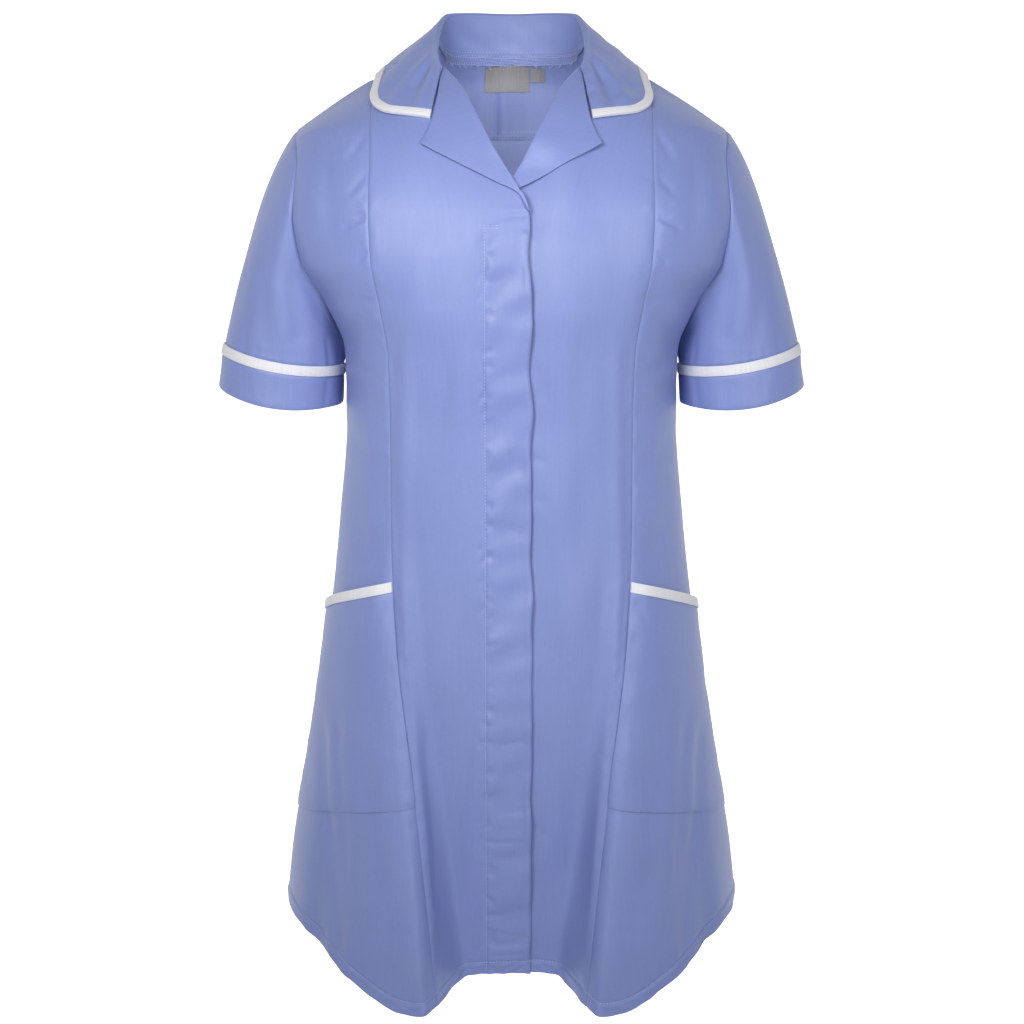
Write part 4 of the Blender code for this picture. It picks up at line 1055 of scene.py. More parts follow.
# Columns: inner distance and height, outer distance and height, half depth, dip
TAPE_TOP_RING = (145.4, -271.0, 248.5, -252.5, 51.5, 4.5)
TAPE_BOTTOM_RING = (145.6, -279.5, 250.8, -261.0, 51.5, 4.5)
CUFF_HEM_RING = (147.0, -305.0, 254.5, -290.0, 51.0, 8.0)
SLEEVE_LEAN_TOP = 0.72
SLEEVE_LEAN_BOTTOM = 0.05
SLEEVE_FULLNESS = 0.60
SLEEVE_GAP = 0.10
ALLOWANCE_UP = 3.6
ALLOWANCE_IN = 2.8
ARMHOLE_CLEARANCE = 3.2
UNDERARM_LEVEL = -258
ARMHOLE_POINTS = 80
SLEEVE_COLUMNS = 150
SLEEVE_ROWS = 74
TAPE_ROWS = 6
CUFF_ROWS = 20
CUFF_CLOTH = 1.5
ARM_RADIUS = 55
PUCKER_RADIUS = 60
TAPE_LIFT = 0.35
TAPE_ROUND = 0.75
TAPE_UNDER = 0.9
TAPE_STITCH_ROWS = (1, 5)
TAPE_STITCH_LIFT = 0.15

# Columns: x, y and z of both ends, depth, width
SLEEVE_CREASES = [
    (177.6, -56.9, -184.0, 160.3, -38.4, -231.5, -1.6, 6.0),
    (184.2, -58.2, -189.0, 178.1, -48.9, -256.0, -1.7, 8.0),
    (196.0, -57.0, -196.0, 190.0, -51.0, -250.0, 1.1, 7.0),
    (209.1, -50.6, -205.0, 204.8, -51.0, -258.0, -1.0, 6.5),
    (227.3, -42.5, -262.0, 224.5, -41.5, -240.0, -0.9, 2.4),
    (215.5, -48.9, -266.0, 213.6, -48.3, -252.0, -0.6, 1.9),
    (208.6, -50.7, -268.0, 207.5, -50.2, -256.0, -0.5, 1.7),
    (201.7, -51.9, -269.5, 202.4, -51.3, -257.0, -0.6, 1.8),
    (193.3, -51.9, -271.0, 194.8, -51.6, -256.0, -0.6, 2.0),
    (155.0, -29.8, -271.0, 157.7, -33.6, -246.0, -0.9, 2.6),
    (219.0, -40.0, -150.0, 222.0, -38.0, -215.0, 0.9, 9.0),
    (177.6, 56.0, -196.0, 160.3, 38.0, -238.0, -2.2, 6.5),
    (190.0, 55.0, -190.0, 186.0, 50.0, -256.0, -1.5, 8.0),
    (214.0, 46.0, -190.0, 212.0, 46.0, -258.0, -1.0, 7.0),
    (222.0, 43.0, -264.0, 220.0, 43.0, -244.0, -0.8, 2.4),
    (205.0, 50.0, -268.0, 206.0, 50.0, -254.0, -0.6, 1.9),
    (170.0, 44.0, -270.0, 172.0, 45.0, -252.0, -0.8, 2.4),
]
CUFF_CREASES = [
    (155.0, -30.8, -276.0, 159.6, -32.7, -307.0, -0.8, 3.5),
    (182.0, -49.2, -278.0, 179.4, -46.8, -306.0, -0.5, 4.0),
    (213.9, -49.3, -273.0, 211.0, -50.0, -299.0, -0.5, 4.5),
    (196.0, -51.0, -278.0, 195.0, -51.0, -305.0, 0.4, 4.5),
    (206.0, 50.0, -276.0, 205.0, 50.0, -304.0, -0.6, 4.5),
    (172.0, 44.0, -278.0, 170.0, 44.0, -306.0, 0.5, 4.5),
]


def armhole_ring(count):
    """Armhole edge from the underarm over the shoulder tip and back, and the way clear of it."""
    heights = np.linspace(UNDERARM_LEVEL, TOP_LEVEL, ARMHOLE_POINTS)
    ring, clear = [], []
    for form, order, skip in (("front", heights, 0), ("back", heights[::-1], 1)):
        edge = form_points(form, 1.0, order)
        outward = unit(edge - form_points(form, 0.99, order))
        ring.append(edge[skip:])
        clear.append((form_normals(form, 0.995, order) + outward * ARMHOLE_CLEARANCE)[skip:])
    ring, clear = np.concatenate(ring), np.concatenate(clear)
    length = down_distance(ring)
    at = np.linspace(0, length[-1], count, endpoint=False)
    return read_along(at, length, ring), read_along(at, length, clear)


def sleeve_ring(ring, count):
    """A ring round the arm, from the body side over the front to the outside and round."""
    inner, inner_height, outer, outer_height, reach, dip = ring
    turn = np.linspace(0, 2 * math.pi, count, endpoint=False)
    x = (inner + outer) / 2 - (outer - inner) / 2 * np.cos(turn)
    y = -reach * np.sin(turn)
    slope = (outer_height - inner_height) * (x - inner) / (outer - inner)
    return np.stack([x, y, inner_height + slope - dip * np.sin(turn) ** 2], -1)


def sleeve_surface(count, rows):
    """Sleeve points from the armhole down to the tape, as rows of rings."""
    start, clear = armhole_ring(count)
    top, bottom = start[:, 2].max(), start[:, 2].min()
    lift = (start[:, 2] - bottom) / (top - bottom)
    lean = SLEEVE_LEAN_BOTTOM + (SLEEVE_LEAN_TOP - SLEEVE_LEAN_BOTTOM) * lift**0.7
    leave = np.stack([lean, np.zeros(count), -np.sqrt(1 - lean**2)], -1)
    start = start + (leave + clear) * SLEEVE_GAP
    end = sleeve_ring(TAPE_TOP_RING, count)
    arrive = unit(sleeve_ring(TAPE_BOTTOM_RING, count) - end)
    chord = np.linalg.norm(end - start, axis=1, keepdims=True) * SLEEVE_FULLNESS
    surface = np.array([
        between(start, leave * chord, end, arrive * chord, t) for t in np.linspace(0, 1, rows + 1)])
    middle = np.array([(start[:, 0].min() + start[:, 0].max()) / 2, 0, start[:, 2].mean()])
    tucked = start - leave * ALLOWANCE_UP + unit(middle - start) * ALLOWANCE_IN
    return np.concatenate([[tucked], surface])


def rounded(first, last, rows):
    """How full a folded tape is over its rows, between two shares of half a turn."""
    return np.sin(np.pi * np.linspace(first, last, rows + 1)) ** 0.5


def ring_normals(surface):
    around = np.roll(surface, -1, axis=1) - np.roll(surface, 1, axis=1)
    normal = unit(np.cross(around, np.gradient(surface, axis=0)))
    away = surface - surface.mean(axis=1, keepdims=True)
    return normal if np.sum(normal * away) > 0 else -normal


tape_cloth = woven(
    "white_tape_weave", (0.66, 0.66, 0.70), (0.80, 0.80, 0.84), 0.70, 0.10, 0.8, 0.10, 0.7)
white_thread = Finish("white_thread", {"Roughness": 0.5, "Base Color": (0.78, 0.78, 0.81, 1)})
white_thread.feed("Roughness", 0.4 + white_thread.speckle(THREAD_TWIST) * 0.3)
white_stitches = stitch_tree(white_thread.material)


def tape_sewn(name, lines):
    """The small white stitches that hold a tape."""
    return stitched(name, lines, white_stitches, "white_tape", pitch=2.2, length=1.7, thickness=0.36)


def rings_between(first, last, rows):
    """Rows of rings from one ring straight to another."""
    return first + (last - first) * np.linspace(0, 1, rows + 1)[:, None, None]


sleeve = sleeve_surface(SLEEVE_COLUMNS, SLEEVE_ROWS)
sleeve_normals = ring_normals(sleeve)
sleeve_normals[0] = sleeve_normals[1]
drop = down_distance(sleeve)
drop = np.abs(drop - drop[1:2])
from_tape = drop[-1:] - drop
turn = np.linspace(0, 2 * math.pi, SLEEVE_COLUMNS, endpoint=False) + 0 * drop
round_way, round_other = np.cos(turn) * ARM_RADIUS, np.sin(turn) * ARM_RADIUS
pucker_way = turn * PUCKER_RADIUS
tape_top, tape_bottom, cuff_hem = (
    sleeve_ring(ring, SLEEVE_COLUMNS) for ring in (TAPE_TOP_RING, TAPE_BOTTOM_RING, CUFF_HEM_RING))
tape_rings = rings_between(tape_top, tape_bottom, TAPE_ROWS)
cuff_rings = rings_between(tape_bottom, cuff_hem, CUFF_ROWS)
tape_normals, cuff_normals = ring_normals(tape_rings), ring_normals(cuff_rings)
tape_round = rounded(0.08, 0.92, TAPE_ROWS)[:, None, None]
tape_seen = tape_rings + tape_normals * (TAPE_ROUND * tape_round + TAPE_LIFT)
tape_hidden = tape_rings - tape_normals * TAPE_UNDER
cuff_drop = down_distance(cuff_rings)
for side, sign in (("right", -1), ("left", 1)):
    seed = 121 if side == "right" else 141
    flip = (sign, 1, 1)
    relief = wander(round_way + drop * 0.2, round_other + drop * 0.3, 42.0, seed) * 0.5
    relief += pressed(sleeve, SLEEVE_CREASES)
    relief += sewn_edge(drop, pucker_way, seed + 1, 0.3, 1.2) + 0.3 * ridge(drop, 4.0, 3.0)
    relief += wander(pucker_way, 0 * turn, 9.0, seed + 2) * 0.28 * np.exp(-from_tape / 9.0)
    relief -= 0.8 * ridge(from_tape, 0, 1.2)
    seen, hidden = walls(sleeve, sleeve_normals, relief)
    sleeve_piece = shell(side + "_sleeve_cloth", seen * flip, hidden * flip, cloth, ring=True)
    dress(sleeve_piece, "blue_cloth", side + "_sleeve")
    tape_piece = shell(
        side + "_cuff_tape_cloth", tape_seen * flip, tape_hidden * flip, tape_cloth, ring=True)
    dress(tape_piece, "white_tape", side + "_cuff_tape")
    relief = wander(pucker_way[:1] + cuff_drop * 0.2, cuff_drop, 34.0, seed + 3) * 0.35
    relief += pressed(cuff_rings, CUFF_CREASES)
    relief -= 0.7 * ridge(cuff_drop, 0, 1.2) + 0.7 * ridge(cuff_drop[-1:] - cuff_drop, 0, 1.3)
    seen, hidden = walls(cuff_rings, cuff_normals, relief, CUFF_CLOTH)
    cuff_piece = shell(side + "_cuff_cloth", seen * flip, hidden * flip, cloth, ring=True)
    dress(cuff_piece, "blue_cloth", side + "_cuff")
    lines = []
    for row in TAPE_STITCH_ROWS:
        line = tape_seen[row] + tape_normals[row] * TAPE_STITCH_LIFT
        lines.append(np.concatenate([line, line[:1]]) * flip)
    tape_sewing = tape_sewn(side + "_cuff_tape_stitches", lines)


# Collar: a one-piece stand and fall that rolls over round the back of the neck. Its rounded
# edge is bound in white tape, sewn down close to the tape's inner edge.

# Columns: share of the way along the neck seam, roll x, y, z, outer edge x, y, z
COLLAR_SECTIONS = [
    (0.00, 0.0, 73.0, 31.5, 0.0, 99.0, -25.0),
    (0.22, 30.0, 70.0, 32.0, 52.0, 93.0, -24.0),
    (0.42, 54.5, 55.0, 30.0, 96.0, 66.0, -19.0),
    (0.55, 61.0, 33.0, 19.0, 112.5, 34.0, -20.0),
    (0.68, 62.5, 10.0, 5.0, 115.5, 2.0, -27.5),
    (0.82, 62.5, -12.0, -7.0, 117.5, -30.0, -43.0),
    (0.90, 61.5, -22.0, -12.0, 114.5, -47.0, -55.5),
    (0.95, 60.5, -29.0, -16.0, 103.0, -62.0, -65.5),
    (1.00, 58.5, -37.0, -20.0, 65.5, -79.0, -67.5),
]

# Columns: distance from the collar's front edge, width, height
GORGE_FOLDS = [(21, 6.5, -3.0), (9, 4.5, 1.3), (36, 8.0, 1.2)]
COLLAR_HALF = 92
COLLAR_CROWDING = 1.7
STAND_STEPS = 9
ROLL_STEPS = 10
FALL_STEPS = 30
COLLAR_ROLL_RADIUS = 3.0
COLLAR_LIFT = 3.6
COLLAR_ARCH = 1.0
STAND_CLEARANCE = 1.9
COLLAR_CLOTH = 1.6
COLLAR_TAPE_WIDTH = 8.0
COLLAR_TAPE_ROWS = 7
COLLAR_TAPE_OVERLAP = 0.3
COLLAR_TAPE_MOST = 0.75
COLLAR_TAPE_ROUND = 0.85
COLLAR_TAPE_UNDER = 2.1
STAND_STITCH_LINES = (5.0, 8.0)
ROLL_TOP_HEIGHT = -23.0
NECK_BACK_POINTS = 30
NECK_FRONT_HEIGHTS = np.linspace(31, -62, 50)
LAID_SHARES = np.linspace(-1, 1, 121)
LAID_HEIGHTS = np.linspace(CHEST_ROWS_LOW, TOP_LEVEL, 91)
ALLOWANCE_ROWS = 12
ALLOWANCE_CLOTH = 0.35
OVERLOCK_PITCH = 2.4
OVERLOCK_LOW = -4.2
OVERLOCK_HIGH = 2.6
OVERLOCK_LIFT = 0.9
OVERLOCK_THREAD = 0.42
OVERLOCK_SEED = 8
OVERLOCK_REACH = NECK_POINT - 3
OVERLOCK_FROM = 30
LOOSE_THREADS = 34


def form_tree():
    """One search tree over the front and back forms, fine enough to lay cloth on."""
    verts, faces = [], []
    for form in ("front", "back"):
        grid = form_points(form, LAID_SHARES[None, :], LAID_HEIGHTS[:, None])
        rows, columns = grid.shape[:2]
        base = len(verts)
        verts.extend(Vector(p) for p in grid.reshape(-1, 3))
        for j in range(rows - 1):
            for i in range(columns - 1):
                a = base + j * columns + i
                b = a + columns
                face = (a, a + 1, b + 1, b)
                faces.append(face if form == "front" else face[::-1])
    return BVHTree.FromPolygons(verts, faces)


def lie_on(tree, point, lift):
    """The point moved out to at least a lift above the form."""
    place, normal, _, _ = tree.find_nearest(Vector(point))
    if (Vector(point) - place).dot(normal) < lift:
        return np.array(place + normal * lift)
    return np.array(point, float)


def neck_seam():
    """Neck seam from the centre back round to the top of the roll line."""
    seam = [form_points("back", s, neck_height(s)) for s in np.linspace(0, neck_share, NECK_BACK_POINTS)]
    for height in NECK_FRONT_HEIGHTS:
        point = form_points("front", front_edge_share(height, FRONT_EDGE), height)
        if point[2] > ROLL_TOP_HEIGHT:
            seam.append(point)
    seam = np.array(seam)
    length = down_distance(seam)
    return lambda share: read_along(share * length[-1], length, seam)


def collar_section(neck, roll, edge, tree):
    """Seen face of one section, from the neck seam over the roll to the outer edge."""
    up = unit(unit(roll - neck) + unit(roll - edge))
    centre = roll - up * COLLAR_ROLL_RADIUS
    inward = unit(unit(neck - centre) - unit(edge - centre))
    inward = unit(inward - up * np.dot(inward, up))
    first = centre + inward * COLLAR_ROLL_RADIUS
    points = [neck + (first - neck) * k / STAND_STEPS for k in range(STAND_STEPS)]
    for k in range(ROLL_STEPS + 1):
        angle = math.pi * k / ROLL_STEPS
        points.append(centre + (inward * math.cos(angle) + up * math.sin(angle)) * COLLAR_ROLL_RADIUS)
    last = points[-1]
    for k in range(1, FALL_STEPS + 1):
        share = k / FALL_STEPS
        arch = (up - inward) * COLLAR_ARCH * math.sin(math.pi * share)
        points.append(lie_on(tree, last + (edge - last) * share + arch, COLLAR_LIFT))
    return np.array(points)


def columns_at(at, way, grid):
    """A grid read again at other distances down each of its columns."""
    columns = [read_along(at[:, c], way[:, c], grid[:, c]) for c in range(grid.shape[1])]
    return np.stack(columns, axis=1)


tree = form_tree()
seam_at = neck_seam()
table = np.array(COLLAR_SECTIONS, float)
table = np.concatenate([table[2:0:-1] * (-1, -1, 1, 1, -1, 1, 1), table])
sections = []
for share in 1 - (1 - np.linspace(0, 1, COLLAR_HALF + 1)) ** COLLAR_CROWDING:
    values = [through(table[:, 0], table[:, k], [share])[0] for k in range(1, 7)]
    neck = seam_at(share) + np.array([0, 0, STAND_CLEARANCE])
    sections.append(collar_section(neck, np.array(values[:3]), np.array(values[3:]), tree))
half = np.array(sections).transpose(1, 0, 2)
seen = np.concatenate([mirrored(half[:, :0:-1]), half], axis=1)
normal = unit(np.cross(np.gradient(seen, axis=1), np.gradient(seen, axis=0)))
if normal[-1, COLLAR_HALF, 1] < 0:
    normal = -normal
roll_end = STAND_STEPS + ROLL_STEPS
most = np.linalg.norm(seen[-1] - seen[roll_end], axis=1) * COLLAR_TAPE_MOST
fall_way = down_distance(seen)
whole_way = fall_way[-1:]
from_left, from_right = across_distance(seen)
from_gorge = np.minimum(from_left, from_right)
relief = sum(height * ridge(from_gorge, place, width) for place, width, height in GORGE_FOLDS)
relief += wander(from_left, fall_way, 40.0, 161) * 0.5
relief *= ease((fall_way - fall_way[roll_end]) / 8.0)
relief += wander(from_left, fall_way, 30.0, 162) * 0.4 * ease((fall_way[STAND_STEPS] - fall_way) / 10.0)
relief -= 0.8 * ridge(whole_way - fall_way, COLLAR_TAPE_WIDTH, 1.0)
for line in STAND_STITCH_LINES:
    relief -= 0.5 * ridge(fall_way, line, 0.9)
body = seen + normal * relief[..., None]
body_at = whole_way - np.minimum(COLLAR_TAPE_WIDTH - COLLAR_TAPE_OVERLAP, most)
body_at = fall_way * body_at / whole_way
body_seen, body_normal = columns_at(body_at, fall_way, body), unit(columns_at(body_at, fall_way, normal))
tape_at = whole_way - np.minimum(np.linspace(COLLAR_TAPE_WIDTH, 0, COLLAR_TAPE_ROWS + 1)[:, None], most)
tape_grid, tape_normal = columns_at(tape_at, fall_way, seen), unit(columns_at(tape_at, fall_way, normal))
tape_round = rounded(0.10, 0.95, COLLAR_TAPE_ROWS)[:, None, None]
tape_seen = tape_grid + tape_normal * (COLLAR_TAPE_ROUND * tape_round - 0.1)
tape_hidden = tape_grid - tape_normal * COLLAR_TAPE_UNDER
collar_piece = shell("collar_cloth", body_seen, body_seen - body_normal * COLLAR_CLOTH, cloth)
dress(collar_piece, "blue_cloth", "collar")
collar_tape = shell("collar_tape_cloth", tape_seen, tape_hidden, tape_cloth)
dress(collar_tape, "white_tape", "collar_tape")
tape_sewing = tape_sewn("collar_tape_stitches", [tape_seen[1] + tape_normal[1] * TAPE_STITCH_LIFT])
stand_lines = [line_across(body_seen, body_normal, fall_way, wanted) for wanted in STAND_STITCH_LINES]
stand_sewing = stitched("collar_stitches", stand_lines, blue_stitches)

# The seam's raw edge inside the neck is overlocked: a thread zigzags over it, with ends left loose.
ends = (np.abs(seen[0, :, 0]) < OVERLOCK_REACH) & (seen[0, :, 1] > OVERLOCK_FROM)
base, rise, out = seen[0][ends], unit(seen[STAND_STEPS] - seen[0])[ends], normal[0][ends]
length = down_distance(base)
at = np.arange(0, length[-1], OVERLOCK_PITCH / 2)
chance = np.random.default_rng(OVERLOCK_SEED)
way = read_along(at, length, base)
rise = unit(read_along(at, length, rise))
out = unit(read_along(at, length, out))
zigzag = np.where(np.arange(len(at)) % 2, OVERLOCK_LOW, OVERLOCK_HIGH)
reach = zigzag + chance.uniform(-0.4, 0.4, len(at))
lift = OVERLOCK_LIFT + chance.uniform(0, 0.35, len(at))
allowance = np.linspace(OVERLOCK_HIGH + 1.5, OVERLOCK_LOW, ALLOWANCE_ROWS)[:, None, None]
strip = way + rise * allowance + out * (0.45 + 0.25 * np.sin(allowance * 2.2 + at[:, None] * 0.25))
strip_piece = shell("neck_seam_allowance", strip, strip - out * ALLOWANCE_CLOTH, cloth)
dress(strip_piece, "blue_cloth")
overlock = [way + rise * reach[:, None] + out * lift[:, None]]
for edge in (OVERLOCK_LOW, OVERLOCK_HIGH):
    overlock.append(way + rise * (edge + chance.uniform(-0.2, 0.2, len(at)))[:, None] + out * lift[:, None])
for _ in range(LOOSE_THREADS):
    k = chance.integers(3, len(at) - 3)
    lean, drop = chance.uniform(-0.9, 0.9), chance.uniform(1.5, 4.5)
    share = np.linspace(0, 1, 6)[:, None]
    hang = np.array([lean * drop, 0, -drop]) * share + np.array([0.5 * lean, 0, 0]) * np.sin(share * 3.0)
    overlock.append(way[k] + rise[k] * OVERLOCK_LOW + out[k] * (OVERLOCK_LIFT + share * 0.8) + hang)
holder = drawn("overlock", overlock)
holder.data.bevel_depth = OVERLOCK_THREAD / 2 * MM
holder.data.bevel_resolution = 0
overlock_piece = made_plain("neck_overlock", holder, thread.material, "blue_cloth")


# Lapels: the front facings turned out along the roll line, with a notch under the collar and
# a point that curls a little. The right lapel laps over the left one.

GORGE_SIDE = [(56.8, -25.0), (60.4, -50.5), (63.6, -68.5)]
NOTCH_SIDE = [(63.6, -68.5), (67.5, -79.0), (72.0, -89.0)]
LAPEL_TIP = NOTCH_SIDE[-1]
LOWER_SIDE = [
    (-13.5, -140.0), (-5.0, -126.5), (10.0, -119.0), (31.8, -108.5), (55.0, -97.0), (72.0, -89.0),
]
ROLL_SIDE = [
    (56.8, -25.0), (40.5, -44.0), (28.8, -66.0), (16.9, -89.0), (0.0, -115.0), (-9.0, -128.0),
    (-13.5, -140.0),
]
LAPEL_ROWS = 84
LAPEL_COLUMNS = 40
CURL_STEPS = 9
LAPEL_CURL_RADIUS = 2.2
LAPEL_CURL_LEAST = 1.45
CURL_NARROWS_FROM = 0.55
CURL_NARROWS_RUN = 0.25
LAPEL_FALL_RATE = 1.4
LAPEL_EDGE_LIFT = 3.2
LAPEL_CLOTH = 1.1
TIP_CURL = 2.4
TIP_REACH = 9.0
TIP_CREASE_ACROSS = (0.80, -0.60)
TIP_CREASE_PLACE = 104.5
TIP_CREASE_DEPTH = 0.9
TIP_CREASE_WIDTH = 1.6
SEARCH_STEPS = 12
SEARCH_EASING = 0.9
LEAST_SLOPE = 60.0
HIGHEST = 60.0
HALF_CHEST = 185.0


def on_front(x, z):
    """Points and normals of the front form at distances from the centre and heights."""
    height, share = z.copy(), x / HALF_CHEST
    for _ in range(SEARCH_STEPS):
        point = form_points("front", share, height)
        height = height + (z - point[..., 2]) * SEARCH_EASING
        slope = form_points("front", share + SHARE_STEP, height)[..., 0] - point[..., 0]
        share = share + (x - point[..., 0]) / np.maximum(slope / SHARE_STEP, LEAST_SLOPE)
        height = np.minimum(height, HIGHEST)
    return form_points("front", share, height), form_normals("front", share, height)


def path_through(points, count):
    points = np.asarray(points, float)
    chord = down_distance(points)
    at = np.linspace(0, 1, count) * chord[-1]
    return np.stack([through(chord, points[:, k], at) for k in range(points.shape[1])], -1)


def lapel_grid():
    """Grid between four side curves: down the roll line and from it out to the edge."""
    left, right = (path_through(side, LAPEL_ROWS + 1) for side in (ROLL_SIDE, NOTCH_SIDE))
    first, final = (path_through(side, LAPEL_COLUMNS + 1) for side in (GORGE_SIDE, LOWER_SIDE))
    a = np.linspace(0, 1, LAPEL_ROWS + 1)[:, None, None]
    b = np.linspace(0, 1, LAPEL_COLUMNS + 1)[None, :, None]
    sides = left[:, None] * (1 - b) + right[:, None] * b + first[None] * (1 - a) + final[None] * a
    corners = (
        left[0] * (1 - a) * (1 - b) + right[0] * (1 - a) * b + left[-1] * a * (1 - b) + right[-1] * a * b)
    return sides - corners


for side in ("right", "left"):
    grid = lapel_grid()
    base, normal = on_front(grid[..., 0], grid[..., 1])
    if side == "left":
        base = base - normal * underlap(base)
    along = np.linspace(0, 1, LAPEL_ROWS + 1)
    narrowing = ease((along - CURL_NARROWS_FROM) / CURL_NARROWS_RUN)[:, None]
    radius = LAPEL_CURL_RADIUS + (LAPEL_CURL_LEAST - LAPEL_CURL_RADIUS) * narrowing
    opening = unit(np.cross(normal[:, 0], np.gradient(base[:, 0], axis=0)))
    opening *= np.sign(np.sum(opening * (base[:, 0] - base[:, 1]), axis=-1, keepdims=True))
    seen, hidden = [], []
    for k in range(CURL_STEPS):
        angle = math.pi * k / CURL_STEPS
        radial = -normal[:, 0] * math.cos(angle) + opening * math.sin(angle)
        middle = base[:, 0] + normal[:, 0] * (LAY_GAP + radius)
        seen.append(middle + radial * radius)
        hidden.append(middle + radial * (radius - LAPEL_CLOTH))
    top_lift = LAY_GAP + 2 * radius[:, 0]
    seed = 171 if side == "right" else 181
    for i in range(LAPEL_COLUMNS + 1):
        b = i / LAPEL_COLUMNS
        lift = top_lift + (LAPEL_EDGE_LIFT - top_lift) * ease(b * LAPEL_FALL_RATE)
        near_tip = ridge(np.linalg.norm(grid[:, i] - LAPEL_TIP, axis=-1), 0, TIP_REACH)
        crease = ridge(grid[:, i] @ TIP_CREASE_ACROSS, TIP_CREASE_PLACE, TIP_CREASE_WIDTH)
        lift = lift + (TIP_CURL - TIP_CREASE_DEPTH * crease) * near_tip
        lift = lift + 0.35 * wander(grid[:, i, 0], grid[:, i, 1], 30.0, seed)
        seen.append(base[:, i] + normal[:, i] * lift[:, None])
        hidden.append(base[:, i] + normal[:, i] * (lift - LAPEL_CLOTH)[:, None])
    seen, hidden = np.array(seen), np.array(hidden)
    if side == "right":
        seen, hidden = mirrored(seen), mirrored(hidden)
    piece = shell(side + "_lapel_cloth", seen, hidden, cloth)
    dress(piece, "blue_cloth", side + "_lapel")


# Pockets: patch pockets from the princess seam to the side seam, with a mouth bound in white
# tape that slopes down to the side and stands open a little.

POCKET_TOP = (-444.0, -482.0)
POCKET_BOTTOM = (-628.0, -667.0)
POCKET_TAPE_WIDTH = 8.5
POCKET_GAPE = 3.4
POCKET_GAPE_EDGE = 22.0
POCKET_LAY = 0.8
POCKET_BREADTH = 170.0
POCKET_GAPE_ENDS = 0.75
POCKET_INSET = 0.002
POCKET_ROWS = 74
POCKET_COLUMNS = 56
POCKET_TAPE_ROWS = 7
POCKET_TAPE_LIFT = 1.2
POCKET_TAPE_ROUND = 0.8


def pocket_surface(kind):
    """Under face, normals and gape of a pocket, or of the tape along its mouth."""
    s = eased_shares(POCKET_COLUMNS + 1)[None, :]
    t = np.linspace(0, 1, (POCKET_TAPE_ROWS if kind == "tape" else POCKET_ROWS) + 1)[:, None]
    top = POCKET_TOP[0] + (POCKET_TOP[1] - POCKET_TOP[0]) * s
    low = POCKET_BOTTOM[0] + (POCKET_BOTTOM[1] - POCKET_BOTTOM[0]) * s
    tape_low = top - POCKET_TAPE_WIDTH
    height = tape_low + (top - tape_low) * t if kind == "tape" else low + (tape_low - low) * t
    start = np.interp(height, FINE_HEIGHTS, SEAM_SIDE)
    end = np.interp(height, FINE_HEIGHTS, SIDE_EDGE)
    share = start + (end - start) * (POCKET_INSET + (1 - 2 * POCKET_INSET) * s)
    points = form_points("front", share, height)
    normals = form_normals("front", share, height)
    gape = POCKET_GAPE * ease(np.minimum(s, 1 - s) * POCKET_BREADTH / POCKET_GAPE_EDGE)
    gape = gape * (1 - ease((top - height) / (top - low) / POCKET_GAPE_ENDS))
    return points, normals, gape


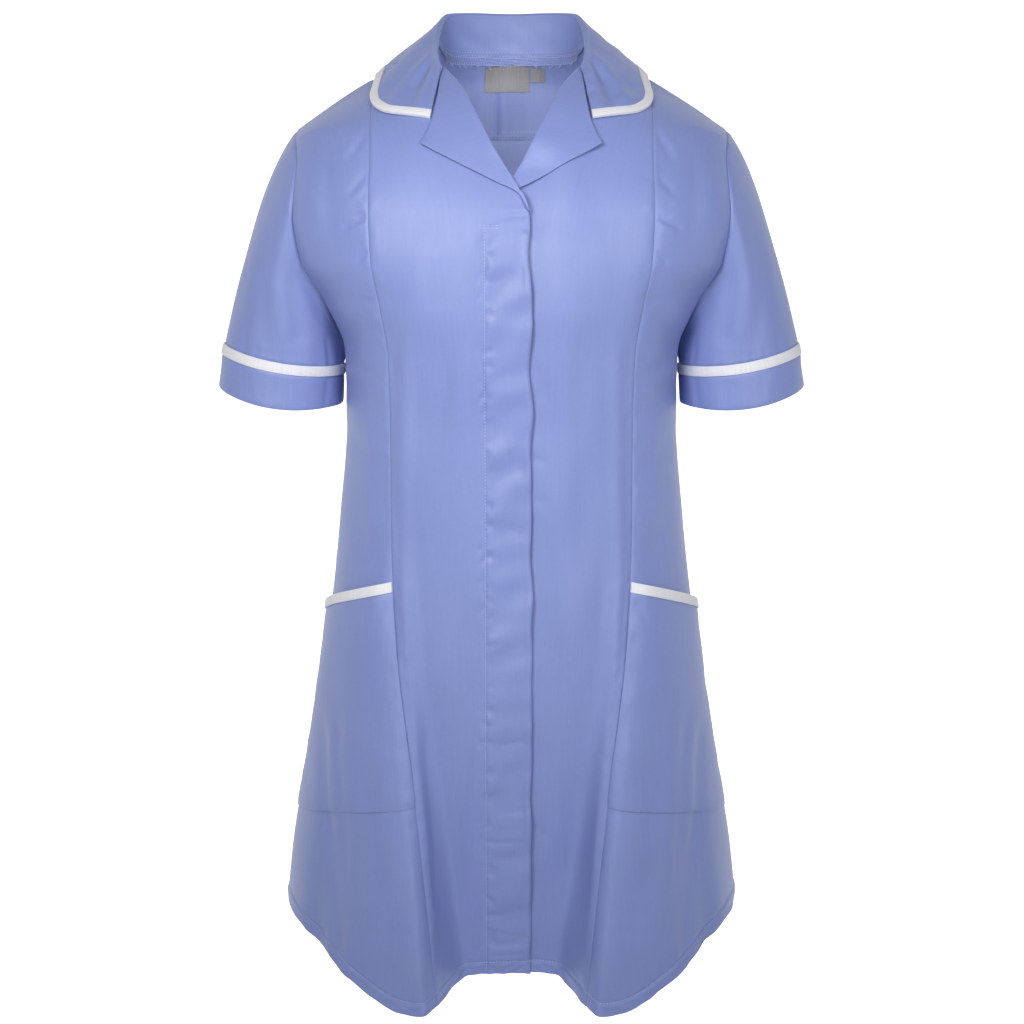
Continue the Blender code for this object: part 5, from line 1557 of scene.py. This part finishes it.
for side, seed in SIDE_SEEDS.items():
    made = {}
    for kind, node, slot, look in (
            ("cloth", side + "_pocket", "blue_cloth", cloth),
            ("tape", side + "_pocket_tape", "white_tape", tape_cloth)):
        points, normals, gape = pocket_surface(kind)
        relief = side_relief(points, seed) + POCKET_LAY + gape
        if kind == "cloth":
            up = down_distance(points)
            relief += CLOTH + 0.3 * wander(points[..., 0], points[..., 2], 36.0, seed + 9)
            relief -= 0.8 * ridge(up, 0, 3.0) + 0.5 * ridge(up[-1:] - up, 0, 1.1)
            seen, hidden = walls(points, normals, relief, CLOTH - 0.1)
        else:
            tape_round = rounded(0.08, 0.92, POCKET_TAPE_ROWS)[:, None]
            thickness = POCKET_TAPE_LIFT + POCKET_TAPE_ROUND * tape_round
            seen = points + normals * (relief + thickness)[..., None]
            hidden = points + normals * (relief - 0.1)[..., None]
        if side == "right":
            seen, hidden, normals = mirrored(seen), mirrored(hidden), mirrored(normals)
        made[kind] = shell(node + "_cloth", seen, hidden, look)
        dress(made[kind], slot, node)
    line = seen[1] + normals[1] * TAPE_STITCH_LIFT
    made["sewing"] = tape_sewn(side + "_pocket_stitches", [line])


# Labels: a grey woven label and a small tab of the same cloth, both left bare, that hang from
# the neck seam under the overlocked edge.

NECK_LABEL = (-23.5, 16.0, -12.0, -34.5)
SIZE_TAB = (17.5, 30.0, -12.0, -24.5)
LABEL_LAY = 0.60
LABEL_CLOTH = 0.5
LABEL_COLUMNS = 28
LABEL_ROWS = 20
LABEL_SWING = 1.1

label_cloth = woven(
    "grey_label_satin", (0.19, 0.185, 0.19), (0.27, 0.265, 0.27), 0.45, 0.10, 0.6, 0.05, 0.7)
for name, (left, right, top, bottom) in (("neck_label", NECK_LABEL), ("size_tab", SIZE_TAB)):
    xs = np.linspace(left, right, LABEL_COLUMNS + 1)
    zs = np.linspace(bottom, top, LABEL_ROWS + 1)
    shares = np.array([
        [math.copysign(share_at("back", z, lambda a, b: a - abs(x)), x) for x in xs] for z in zs])
    points = form_points("back", shares, zs[:, None])
    normals = form_normals("back", shares, zs[:, None])
    down = (top - zs)[:, None] / (top - bottom)
    across = ((xs - left) / (right - left))[None, :]
    swing = LABEL_SWING * down**1.5 * (0.6 + 0.4 * np.sin(across * 5.0 + 0.6)) + 0.25 * np.sin(across * 9 + 2)
    hidden, seen = walls(points, normals, -(CLOTH + LABEL_LAY + swing), LABEL_CLOTH)
    piece = shell(name + "_cloth", seen, hidden, label_cloth)
    dress(piece, "grey_label", name)


# Studs: flat plastic press studs behind the placket. They hardly show, so the frame's own
# discs stay and get a polished plastic.

STUD_SPECKLE = 900.0
stud_plastic = Finish("pale_stud_plastic", {"Base Color": (0.62, 0.66, 0.80, 1), "Roughness": 0.30})
stud_plastic.feed("Roughness", 0.24 + stud_plastic.speckle(STUD_SPECKLE) * 0.14)
for name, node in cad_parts.items():
    if name.startswith("front_stud"):
        node.data.materials.clear()
        node.data.materials.append(stud_plastic.material)
